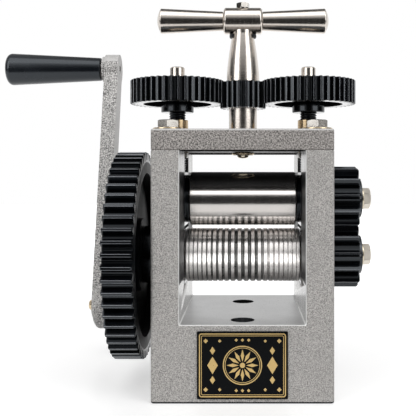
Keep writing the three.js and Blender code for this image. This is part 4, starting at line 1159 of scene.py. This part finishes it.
def drive_gear():
    """The large gear: a toothed rim, a web with a recess on each side and a hub with a collar."""
    ring = toothed_ring(DRIVE_TOOTH_ANGLE, DRIVE_RING_INNER, DRIVE_OUTER_X, DRIVE_INNER_X, **DRIVE_TEETH)
    bore = GEAR_SEAT_RADIUS + BORE_FIT
    web_outer = DRIVE_OUTER_X + DRIVE_RECESS
    web_inner = DRIVE_INNER_X - DRIVE_RECESS
    step = DRIVE_INNER_X - DRIVE_RECESS / 2
    collar = -JOURNAL_END_X - DRIVE_COLLAR
    draft = 0.6
    body = lathe([
        (DRIVE_NOSE_X, bore), (DRIVE_NOSE_X, DRIVE_HUB_RADIUS - EDGE_BREAK),
        (DRIVE_NOSE_X + EDGE_BREAK, DRIVE_HUB_RADIUS), (DRIVE_OUTER_X, DRIVE_HUB_RADIUS),
        (DRIVE_OUTER_X, DRIVE_STEP_RADIUS), (web_outer, DRIVE_STEP_RADIUS + draft),
        (web_outer, DRIVE_RIM_INNER - draft), (DRIVE_OUTER_X, DRIVE_RIM_INNER),
        (DRIVE_OUTER_X, DRIVE_RING_INNER), (DRIVE_INNER_X, DRIVE_RING_INNER),
        (DRIVE_INNER_X, DRIVE_RIM_INNER), (web_inner, DRIVE_RIM_INNER - draft),
        (web_inner, DRIVE_STEP_RADIUS), (step, DRIVE_STEP_RADIUS),
        (step, DRIVE_HUB_RADIUS), (collar, DRIVE_HUB_RADIUS), (collar, DRIVE_COLLAR_RADIUS),
        (-JOURNAL_END_X, DRIVE_COLLAR_RADIUS), (-JOURNAL_END_X, bore)], 128, closed=True, soft=0.4)
    paint_faces(body, 2, lambda centre, normal: from_axis(centre) > DRIVE_RIM_INNER)
    paint_faces(body, 3, lambda centre, normal: DRIVE_HUB_RADIUS < from_axis(centre) < DRIVE_RIM_INNER)
    piece("drive_gear", along_x(joined(ring, body), 0, LOWER_ROLL_Z), "black", "painted_highlight_edge", "gear_face",
          "gear_web", slot="black_oxide")


def shaft_fasteners():
    for prefix, side, nose, z in (
        ("lower_sync", 1, SYNC_NOSE_X, LOWER_ROLL_Z),
        ("upper_sync", 1, SYNC_NOSE_X, UPPER_ROLL_Z),
        ("drive_gear", -1, DRIVE_NOSE_X, LOWER_ROLL_Z),
    ):
        turn = Matrix.Rotation(math.radians(90 * side), 4, "Y")
        washer_x = nose + side * SEAT_GAP
        bolt_x = washer_x + side * (SHAFT_WASHER + SEAT_GAP)
        washer = moved(
            disc_tube(0, SHAFT_WASHER, BOLT_HOLE_RADIUS, SHAFT_WASHER_RADIUS),
            Matrix.Translation((washer_x, 0, z)) @ turn)
        piece(f"{prefix}_washer", washer, "plated", slot="plated_steel")
        bolt = moved(
            hex_bolt(BOLT_FLATS, BOLT_HEAD, BOLT_RADIUS, SHAFT_BOLT_LENGTH),
            Matrix.Translation((bolt_x, 0, z)) @ turn)
        piece(f"{prefix}_bolt", bolt, "satin_plated", slot="plated_steel")


def crank_drive():
    """The crank's pinion, its shaft and the bush that it turns in."""
    place = crank_frame() @ ALONG_X
    tooth_angle = meshing_angle(
        DRIVE_TOOTH_ANGLE, DRIVE_TEETH["teeth"], CRANK_TEETH["teeth"], CRANK_LINE_ANGLE)
    ring = toothed_ring(
        tooth_angle - math.degrees(CRANK_TILT), CRANK_SHAFT_RADIUS + BORE_FIT, PINION_OUTER_X, PINION_INNER_X,
        **CRANK_TEETH)
    piece("crank_pinion", moved(ring, place), "black", "painted_highlight_edge", slot="black_oxide")

    collar = LUG_INNER_X + SEAT_GAP
    shaft = lathe(stepped(
        ARM_OUTER_X + ARM_SOCKET_WALL + SEAT_GAP,
        (collar, CRANK_SHAFT_RADIUS), (collar + CRANK_COLLAR, CRANK_COLLAR_RADIUS)))
    piece("crank_shaft", moved(shaft, place), "shaft", slot="roll_steel")

    bore = CRANK_SHAFT_RADIUS + RUNNING_FIT
    flange_start = PINION_INNER_X + 0.15
    flange_end = LUG_OUTER_X - SEAT_GAP
    bush = lathe([
        (flange_start, bore), (flange_start, CRANK_BUSH_FLANGE), (flange_end, CRANK_BUSH_FLANGE),
        (flange_end, CRANK_BUSH_RADIUS), (LUG_INNER_X, CRANK_BUSH_RADIUS), (LUG_INNER_X, bore)], closed=True)
    piece("crank_bush", along_x(bush, CRANK_Y, CRANK_Z), "bronze", slot="bronze")


def arm_shape():
    """The arm in the crank's upright frame: a straight bar, a round head and a heavy domed foot."""
    half = ARM_WIDTH / 2
    head_angle = math.degrees(math.acos(half / ARM_HEAD_RADIUS))
    head = arc(0, CRANK_THROW, ARM_HEAD_RADIUS, -head_angle, 180 + 2 * head_angle, 32)
    outline = [(half, 0), *head, (-half, 0), *arc(0, 0, half, 180, 180, 24)[1:-1]]
    bar = moved(prism(outline, ARM_OUTER_X, ARM_INNER_X), ALONG_X)
    neck_end = PINION_OUTER_X - SEAT_GAP
    foot = along_x(lathe([
        (ARM_OUTER_X, 0), *rounded_end(ARM_OUTER_X, ARM_FOOT_RADIUS, *ARM_FOOT_DOME),
        (ARM_INNER_X, ARM_FOOT_RADIUS), (ARM_INNER_X, ARM_NECK_RADIUS), (neck_end, ARM_NECK_RADIUS),
        (neck_end, 0)], soft=0))
    boss = along_x(pin(ARM_BOSS_X, ARM_OUTER_X + 3, ARM_BOSS_RADIUS, HOLE_ROUND), 0, CRANK_THROW)
    socket = pin(
        ARM_OUTER_X + ARM_SOCKET_WALL, PINION_OUTER_X + 2, CRANK_SHAFT_RADIUS + BORE_FIT, HOLE_ROUND)
    tail_seat = ARM_BOSS_X + SPINDLE_TAIL + RUNNING_FIT
    return cut(
        fused(bar, foot, boss),
        along_x(socket),
        along_x(pin(ARM_OUTER_X - 1, ARM_INNER_X, CRANK_BOLT_RADIUS + RUNNING_FIT)),
        along_x(pin(ARM_BOSS_X - 1, ARM_INNER_X + 1, 3.5), 0, CRANK_THROW),
        along_x(pin(ARM_BOSS_X - 1, tail_seat, SPINDLE_RADIUS + BORE_FIT), 0, CRANK_THROW))


def crank_arm():
    # The inner face and the crown get the paler edge paint: a smoother face, and a painted highlight where
    # they face the light
    def smooth(centre, normal):
        inner_face = normal.x > 0.9 and centre.x > ARM_INNER_X - NEAR
        crown = centre.z > CRANK_THROW and abs(normal.x) < 0.5 and normal.z > 0.15
        return inner_face or crown

    arm = arm_shape()
    paint_faces(arm, 1, smooth)
    piece("crank_arm", moved(arm, crank_frame()), "arm_paint", "paint_edge", slot="cast_paint", bevel=1.5,
          bevel_angle=50, edge="paint_edge")

    seat = ARM_OUTER_X - SEAT_GAP
    head = [(4, 0), (3.95, 1.2), (3.7, 2.6), (3, 3.7), (1.6, 4.4), (0, 5.2), (0, CRANK_BOLT_RADIUS)]
    bolt = lathe([
        *((seat - rise, radius) for rise, radius in head),
        (seat + CRANK_BOLT_LENGTH, CRANK_BOLT_RADIUS), (seat + CRANK_BOLT_LENGTH, 0)], soft=0.25)
    piece("crank_bolt", moved(bolt, crank_frame() @ ALONG_X), "washer", slot="plated_steel")


def crank_grip():
    """The grip and the spindle that it spins on."""
    place = crank_frame(CRANK_THROW) @ ALONG_X
    spindle = lathe(stepped(
        GRIP_OUTER_X + GRIP_CAP + 2, (ARM_BOSS_X - 1.2, SPINDLE_RADIUS),
        (ARM_BOSS_X - SEAT_GAP, SPINDLE_COLLAR_RADIUS),
        (ARM_BOSS_X + SPINDLE_TAIL, SPINDLE_RADIUS)), SMALL_ROUND)
    piece("grip_spindle", moved(spindle, place), "nickel_bar", slot="nickel")

    taper_start = GRIP_OUTER_X + GRIP_ROUND
    taper_end = GRIP_INNER_X - 0.9
    profile = [(GRIP_OUTER_X, 0), *rounded_end(GRIP_OUTER_X, GRIP_END_RADIUS, GRIP_ROUND, GRIP_ROUND)]
    for step in range(1, 9):
        share = step / 8
        radius = GRIP_END_RADIUS - (GRIP_END_RADIUS - GRIP_NECK_RADIUS) * share
        profile.append((taper_start + (taper_end - taper_start) * share, radius))
    bore = SPINDLE_RADIUS + RUNNING_FIT
    bore_end = GRIP_OUTER_X + GRIP_CAP
    profile += [(GRIP_INNER_X, GRIP_NECK_RADIUS - 0.9), (GRIP_INNER_X, bore), (bore_end, bore), (bore_end, 0)]
    piece("crank_grip", moved(lathe(profile, soft=0.2), place), "grip", slot="grip_plastic")


def screw_gear(side):
    tooth_angle = meshing_angle(
        CENTRE_TOOTH_ANGLE, CENTRE_TEETH["teeth"], SCREW_TEETH["teeth"], 0 if side > 0 else 180)
    ring = toothed_ring(tooth_angle, SCREW_RING_INNER, SCREW_GEAR_BOTTOM, SCREW_GEAR_TOP, **SCREW_TEETH)
    bore = SCREW_RADIUS + BORE_FIT
    hub_end = SCREW_GEAR_BOTTOM - SCREW_HUB_DROP
    web = SCREW_GEAR_BOTTOM + 6
    groove = SCREW_GEAR_TOP - 1
    body = lathe([
        (hub_end, bore), (hub_end, SCREW_HUB_RADIUS - 0.5), (hub_end + 0.5, SCREW_HUB_RADIUS),
        (web, SCREW_HUB_RADIUS), (web, SCREW_RIM_INNER - 0.2), (SCREW_GEAR_BOTTOM, SCREW_RIM_INNER + 0.075),
        (SCREW_GEAR_BOTTOM, SCREW_RING_INNER), (SCREW_GEAR_TOP, SCREW_RING_INNER),
        (SCREW_GEAR_TOP, SCREW_RIM_INNER), (groove, SCREW_RIM_INNER - 0.4), (groove, SCREW_HUB_RADIUS + 0.2),
        (SCREW_GEAR_TOP, SCREW_HUB_RADIUS - 0.2), (SCREW_GEAR_TOP, bore)], closed=True)
    mesh = joined(ring, body)

    def lower_rim(centre, normal):
        level = abs(normal.z) > 0.9 and abs(centre.z - SCREW_GEAR_BOTTOM) < 2 * NEAR
        return level and SCREW_RIM_INNER - NEAR < from_axis(centre) < SCREW_RING_INNER + 1.5

    paint_faces(mesh, 2, lower_rim)
    return mesh


def gear_stud():
    """A stud on Z = 0 with a brass flange, and a shank that reaches down into the screw."""
    stud = lathe([
        (-STUD_LENGTH, 0), (-STUD_LENGTH, STUD_SHANK_RADIUS), (0, STUD_SHANK_RADIUS),
        (0, STUD_FLANGE_RADIUS), (STUD_FLANGE, STUD_FLANGE_RADIUS), (STUD_FLANGE, STUD_RADIUS),
        (STUD_RISE - STUD_CHAMFER, STUD_RADIUS), (STUD_RISE, STUD_RADIUS - STUD_CHAMFER),
        (STUD_RISE, 0)], soft=0.2)
    paint_faces(stud, 1, lambda centre, normal: -NEAR < centre.z < 1 and from_axis(centre) > STUD_RADIUS)
    return stud


def adjusting_screws():
    for side_name, side in SIDES:
        x = side * SCREW_X
        bush = split_at(disc_tube(
            PLATE_BOTTOM - THREAD_BUSH_DROP, PLATE_TOP + THREAD_BUSH_RISE, SCREW_RADIUS + RUNNING_FIT,
            THREAD_BUSH_RADIUS, 0.5), PLATE_BOTTOM)
        # Below the plate the brass bush gets grey shaft steel, a painted shade for the dark under the plate
        paint_faces(bush, 1, lambda centre, normal: centre.z < PLATE_BOTTOM)
        piece(f"{side_name}_thread_bush", at(bush, x), "brass", "shaft", slot="brass")

        foot_top = SCREW_FOOT_Z + SCREW_FOOT
        foot = pin(SCREW_FOOT_Z, foot_top, SCREW_FOOT_RADIUS)
        thread = threaded(
            foot_top - RUNNING_FIT, SCREW_GEAR_TOP - 1.5, SCREW_RADIUS, SCREW_PITCH, THREAD_DEPTH)
        piece(f"{side_name}_adjusting_screw", at(joined(foot, thread), x), "black", slot="black_oxide",
              smooth_angle=60)
        gear = at(screw_gear(side), x)
        piece(f"{side_name}_screw_gear", gear, "black", "painted_highlight_edge", "rim", slot="black_oxide")
        stud = at(gear_stud(), x, 0, SCREW_GEAR_TOP + SEAT_GAP)
        piece(f"{side_name}_gear_stud", stud, "nickel", "brass", slot="nickel")


def handle_stem():
    """The T-handle's pinion, its tapering stem and the open rubber ring below the hub."""
    pinion = toothed_ring(
        CENTRE_TOOTH_ANGLE, STEM_RADIUS + BORE_FIT, PINION_BOTTOM, PINION_TOP, **CENTRE_TEETH)
    paint_faces(pinion, 2, lambda centre, normal: centre.z < PINION_BOTTOM + 0.4)
    piece("centre_pinion", pinion, "black", "painted_highlight_edge", "rim", slot="black_oxide")

    start = PLATE_BOTTOM + SEAT_GAP
    shoulder = PINION_TOP + SEAT_GAP
    taper_start = shoulder + 2.5
    taper_end = BAR_Z - HUB_RADIUS
    profile = [
        (start, 0), (start, STEM_JOURNAL_RADIUS), (start + STEM_JOURNAL, STEM_JOURNAL_RADIUS),
        (start + STEM_JOURNAL, STEM_RADIUS), (shoulder, STEM_RADIUS), (shoulder, STEM_SHOULDER_RADIUS)]
    for step in range(17):
        share = step / 16
        radius = STEM_SHOULDER_RADIUS - (STEM_SHOULDER_RADIUS - STEM_NECK_RADIUS) * share ** 1.5
        profile.append((taper_start + (taper_end - taper_start) * share, radius))
    profile += [(taper_end + STEM_SUNK, STEM_NECK_RADIUS), (taper_end + STEM_SUNK, 0)]
    piece("handle_stem", lathe(profile, soft=0.25), "nickel", slot="nickel")

    ring_top = taper_end - BORE_FIT
    ring_bottom = ring_top - HUB_RING
    ring = disc_tube(ring_bottom, ring_top, STEM_NECK_RADIUS + RUNNING_FIT, HUB_RING_RADIUS, 0.6)
    reach = 2 * HUB_RADIUS
    opening_x = reach * math.sin(CLIP_OPENING)
    opening_y = -reach * math.cos(CLIP_OPENING)
    opening = [(0, 0), (-opening_x, opening_y), (0, -2 * reach), (opening_x, opening_y)]
    piece("hub_ring", cut(ring, prism(opening, ring_bottom - 1, ring_top + 1)), "rubber", slot="black_rubber")


def handle_hub():
    """The hub across the stem's top, its screw and the two tapering bars."""
    chamfer = HUB_RADIUS - HUB_CHAMFER
    hub = along_x(lathe([
        (-HUB_HALF, 0), (-HUB_HALF, chamfer), (-HUB_HALF + HUB_CHAMFER, HUB_RADIUS),
        (HUB_HALF - HUB_CHAMFER, HUB_RADIUS), (HUB_HALF, chamfer), (HUB_HALF, 0)], soft=0.6), 0, BAR_Z)
    stem_seat = pin(
        -HUB_RADIUS - 1, -HUB_RADIUS + STEM_SUNK + SEAT_GAP, STEM_NECK_RADIUS + BORE_FIT, HOLE_ROUND)
    screw_seat = pin(HUB_RADIUS - 0.4, HUB_RADIUS + 1, HUB_SCREW_SEAT_RADIUS, HOLE_ROUND)
    hub = cut(hub, at(stem_seat, 0, 0, BAR_Z), at(screw_seat, 0, 0, BAR_Z))
    piece("handle_hub", hub, "nickel_bar", slot="nickel")

    screw = hex_bolt(HUB_SCREW_FLATS, HUB_SCREW_HEAD, SMALL_SCREW_RADIUS, HUB_SCREW_LENGTH)
    turned = moved(screw, Matrix.Rotation(HUB_SCREW_TURN, 4, "Z"))
    piece("hub_screw", at(turned, 0, 0, BAR_Z + HUB_RADIUS - 0.3), "bolt", slot="nickel")

    corner = BAR_LENGTH - BAR_DOME
    for side_name, side in SIDES:
        profile = [(-BAR_SPIGOT, 0), (-BAR_SPIGOT, BAR_SPIGOT_RADIUS), (SEAT_GAP, BAR_SPIGOT_RADIUS)]
        for step in range(5):
            share = step / 4
            radius = BAR_INNER_RADIUS + (BAR_OUTER_RADIUS - BAR_INNER_RADIUS) * share
            profile.append((SEAT_GAP + (corner - SEAT_GAP) * share, radius))
        for step in range(1, 9):
            outward = 1 - step / 8
            profile.append((corner + BAR_DOME * (1 - outward ** 2), BAR_OUTER_RADIUS * outward))
        place = Matrix.Translation((side * HUB_HALF, 0, BAR_Z)) @ half_turn(side) @ ALONG_X
        bar = moved(lathe(profile, soft=0.7), place)
        piece(f"{side_name}_handle_bar", bar, "nickel_bar", slot="nickel")


def stem_retainer():
    """The washer and the button screw that hold the stem down from under the plate."""
    top = PLATE_BOTTOM - SEAT_GAP
    bottom = top - RETAINER_WASHER
    bore = SMALL_SCREW_RADIUS + RUNNING_FIT
    washer = lathe([
        (bottom, bore), (bottom, RETAINER_RADIUS - 0.8), (bottom + EDGE_BREAK, RETAINER_RADIUS),
        (top, RETAINER_RADIUS), (top, bore)], closed=True)
    # The washer's underside gets the painted shade
    paint_faces(washer, 1, lambda centre, normal: normal.z < -0.9)
    piece("retainer_washer", washer, "washer", "painted_shade", slot="plated_steel")

    seat = bottom - SEAT_GAP
    shank_end = PLATE_BOTTOM + RETAINER_SCREW_DEPTH
    button = [(2.1, 0), (2.1, 2.4), (1.8, 3.2), (1.1, 3.9), (0.3, 4.2), (0, 4.2), (0, SMALL_SCREW_RADIUS)]
    screw = lathe([
        *((seat - drop, radius) for drop, radius in button),
        (shank_end, SMALL_SCREW_RADIUS), (shank_end, 0)], soft=0.2)
    socket = prism(circle(RETAINER_SOCKET_FLATS / math.sqrt(3), 6), seat - 3, seat - 1)
    piece("retainer_screw", cut(screw, socket), "plated", slot="plated_steel")


def lozenge(x, y, half_x, half_y):
    return [(x - half_x, y), (x, y - half_y), (x + half_x, y), (x, y + half_y)]


def petal(degrees):
    """A long lozenge that points away from the middle, widest at 6.2 mm from it."""
    cosine = math.cos(math.radians(degrees))
    sine = math.sin(math.radians(degrees))
    return [
        (along * cosine - aside * sine, along * sine + aside * cosine)
        for along, aside in ((2.4, 0), (6.2, -1.15), (10.2, 0), (6.2, 1.15))]


def inset_frame(inset, corner):
    return rounded_rectangle(LABEL_HALF_WIDTH - inset, LABEL_HALF_HEIGHT - inset, corner)


def label_plate():
    """A black plate with a raised gold border, a petalled rosette and lozenges."""
    stand = Matrix(((1, 0, 0, 0), (0, 0, -1, 0), (0, 1, 0, 0), (0, 0, 0, 1)))  # Z to -Y, Y to Z
    place = Matrix.Translation((0, 0, LABEL_BOTTOM + LABEL_HALF_HEIGHT)) @ stand
    plate = prism(inset_frame(0, LABEL_CORNER), -LABEL_BACK_Y, -LABEL_FRONT_Y)
    piece("label_plate", moved(plate, place), "label", slot="label_plate", bevel=0.15)

    outlines = []
    for outer, inner in (
        (inset_frame(1.3, 1.6), inset_frame(2.0, 0.9)),
        (inset_frame(2.7, 1.0), inset_frame(3.05, 0.65)),
        (circle(12.6, 64), circle(11.9, 64)),
        (circle(11.3, 64), circle(10.95, 64)),
    ):
        for i in range(len(outer)):
            after = (i + 1) % len(outer)
            outlines.append([inner[i], outer[i], outer[after], inner[after]])
    outlines.append(circle(1.7, 32))
    outlines += [petal(30 * k) for k in range(12)]
    for side in (-1, 1):
        outlines.append(lozenge(side * 19.2, 0, 3.4, 5.6))
        for level in (-1, 1):
            outlines.append(lozenge(side * 19.2, level * 9.4, 1.7, 2.6))
            outlines.append(lozenge(side * 23.6, level * 15.6, 1.5, 1.5))
            outlines.append(lozenge(side * 14.6, level * 15.6, 1.1, 1.1))
    for level in (-1, 1):
        outlines += [lozenge(x, level * 16.2, 1.1, 1.1) for x in (-4, 0, 4)]
    raised = [prism(outline, -LABEL_FRONT_Y - ORNAMENT_SUNK, -ORNAMENT_FRONT_Y) for outline in outlines]
    piece("label_plate", moved(joined(*raised), place), "gold", slot="label_plate", name="label_ornament")


frame_casting()
top_plate()
plate_fasteners()
bearing_blocks()
lift_springs()
lower_roll, upper_roll = rollers()
sync_gears()
drive_gear()
shaft_fasteners()
crank_drive()
crank_arm()
crank_grip()
adjusting_screws()
handle_stem()
handle_hub()
stem_retainer()
label_plate()

for key in ("drive_gear_key", "lower_sync_key", "upper_sync_key", "crank_key"):
    dress(key, "shaft")


# Stage, light and camera

def stage_floor():
    """A pale floor. It glows for the camera and in reflections, and more so far from the mill."""
    mesh = mesh_from([
        (-FLOOR_HALF_WIDTH, FLOOR_FRONT_Y, 0), (FLOOR_HALF_WIDTH, FLOOR_FRONT_Y, 0),
        (FLOOR_HALF_WIDTH, FLOOR_REAR_Y, 0), (-FLOOR_HALF_WIDTH, FLOOR_REAR_Y, 0)], [(0, 1, 2, 3)])
    mesh.transform(Matrix.Scale(MILLIMETRE, 4))
    floor = bpy.data.objects.new("floor", mesh)
    bpy.context.scene.collection.objects.link(floor)
    shader = Shader("floor_white")
    shader.set(
        Base_Color=(FLOOR_COLOUR, FLOOR_COLOUR, FLOOR_COLOUR, 1), Roughness=0.35, Specular_IOR_Level=0.4,
        Emission_Color=(1, 1, 1, 1))
    away = shader.length(shader.place((1, 1, 1)))
    glow = shader.ramp(
        away, FAR_FLOOR_START * MILLIMETRE, FAR_FLOOR_END * MILLIMETRE, FLOOR_GLOW, FAR_FLOOR_GLOW)
    seen = shader.seen_by("Is Camera Ray", "Is Glossy Ray", "Is Transmission Ray")
    shader.link(shader.calculate("MULTIPLY", glow, seen), "Emission Strength")
    mesh.materials.append(shader.material)


def softbox(name, place, target, size, radiance):
    """An area lamp whose face looks equally bright at any size."""
    lamp = bpy.data.lights.new(name, "AREA")
    lamp.shape = "RECTANGLE"
    lamp.size, lamp.size_y = size
    lamp.energy = radiance * math.pi * size[0] * size[1]
    obj = bpy.data.objects.new(name, lamp)
    obj.location = place
    obj.rotation_mode = "QUATERNION"
    obj.rotation_quaternion = (Vector(target) - Vector(place)).to_track_quat("-Z", "Y")
    obj.visible_camera = False
    bpy.context.scene.collection.objects.link(obj)
    return obj


def light_only(lamp, receiver):
    """Keeps a lamp to one object, and lets nothing else cast its shadows."""
    group = bpy.data.collections.new(f"{lamp.name}_receiver")
    group.objects.link(receiver)
    lamp.light_linking.receiver_collection = group
    lamp.light_linking.blocker_collection = group


def studio_world():
    """White behind the mill and to the camera. In front a dark room, paler overhead and at both sides."""
    world = bpy.data.worlds.new("studio")
    bpy.context.scene.world = world
    world.use_nodes = True
    world.node_tree.nodes.clear()
    nodes = Nodes(world.node_tree)

    def fade(value, low, high, first, second):
        """A soft change from one strength to another between two angles."""
        sines = [math.sin(math.radians(angle)) for angle in (low, high)]
        return nodes.ramp(value, *sines, first, second, "SMOOTHSTEP")

    direction = nodes.add("ShaderNodeTexCoord").outputs["Generated"]
    split = nodes.add("ShaderNodeSeparateXYZ", {0: direction})
    level = nodes.add("ShaderNodeCombineXYZ", {0: split.outputs["X"], 1: split.outputs["Y"]})
    reach = nodes.length(level.outputs[0])
    height = split.outputs["Z"]
    backward = nodes.calculate("DIVIDE", split.outputs["Y"], reach)
    sideways = nodes.add("ShaderNodeMath", {
        0: nodes.calculate("DIVIDE", split.outputs["X"], reach)}, operation="ABSOLUTE").outputs[0]
    behind = fade(backward, DARK_ROOM_EDGE - 90, WHITE_ROOM_EDGE - 90, DARK_ROOM, 1.0)
    low_down = fade(height, BACKDROP_TOP - BACKDROP_FADE, BACKDROP_TOP + BACKDROP_FADE, 1.0, 0.1)
    backdrop = nodes.calculate("MULTIPLY", behind, low_down)
    overhead = fade(height, CEILING_START, CEILING_FULL, 0.0, CEILING)
    ceiling = nodes.calculate("MULTIPLY", fade(backward, -10, 25, 1.0, 0.0), overhead)
    off_middle = fade(sideways, 10, 34, 0.0, SIDE_GLOW)
    sides = nodes.calculate("MULTIPLY", off_middle, fade(sideways, 58, 85, 1.0, 0.0))
    room = nodes.calculate("MAXIMUM", backdrop, nodes.calculate("MAXIMUM", ceiling, sides))
    strength = nodes.calculate("MAXIMUM", room, nodes.seen_by("Is Camera Ray", "Is Transmission Ray"))
    background = nodes.add("ShaderNodeBackground", {"Color": (1, 1, 1, 1), "Strength": strength})
    nodes.add("ShaderNodeOutputWorld", {"Surface": background.outputs[0]})


def camera():
    data = bpy.data.cameras.new("camera")
    data.sensor_width = 36
    data.lens = CAMERA_LENS
    data.shift_x, data.shift_y = CAMERA_SHIFT
    data.clip_start = 0.01
    obj = bpy.data.objects.new("camera", data)
    obj.location = CAMERA_PLACE
    obj.rotation_euler = (math.pi / 2, 0, 0)
    bpy.context.scene.collection.objects.link(obj)
    bpy.context.scene.camera = obj


stage_floor()
studio_world()
x, y, z = SIDE_BOX_PLACE
for side_name, side in SIDES:
    softbox(f"{side_name}_softbox", (side * x, y, z), (0, 0, z), SIDE_BOX_SIZE, SIDE_RADIANCE)
softbox("top_softbox", TOP_BOX_PLACE, (*TOP_BOX_PLACE[:2], 0), TOP_BOX_SIZE, TOP_RADIANCE)
for name, roll, place, size, radiance in (
    ("upper_roll_softbox", upper_roll, ROLL_BOX_PLACE, ROLL_BOX_SIZE, ROLL_RADIANCE),
    ("lower_roll_softbox", lower_roll, ROLL_BOX_PLACE, ROLL_BOX_SIZE, GROOVED_ROLL_RADIANCE),
    ("lower_roll_card", lower_roll, CARD_PLACE, CARD_SIZE, CARD_RADIANCE),
):
    light_only(softbox(name, place, ROLL_FRONTS, size, radiance), roll)
camera()
bpy.context.scene.view_settings.view_transform = "Standard"
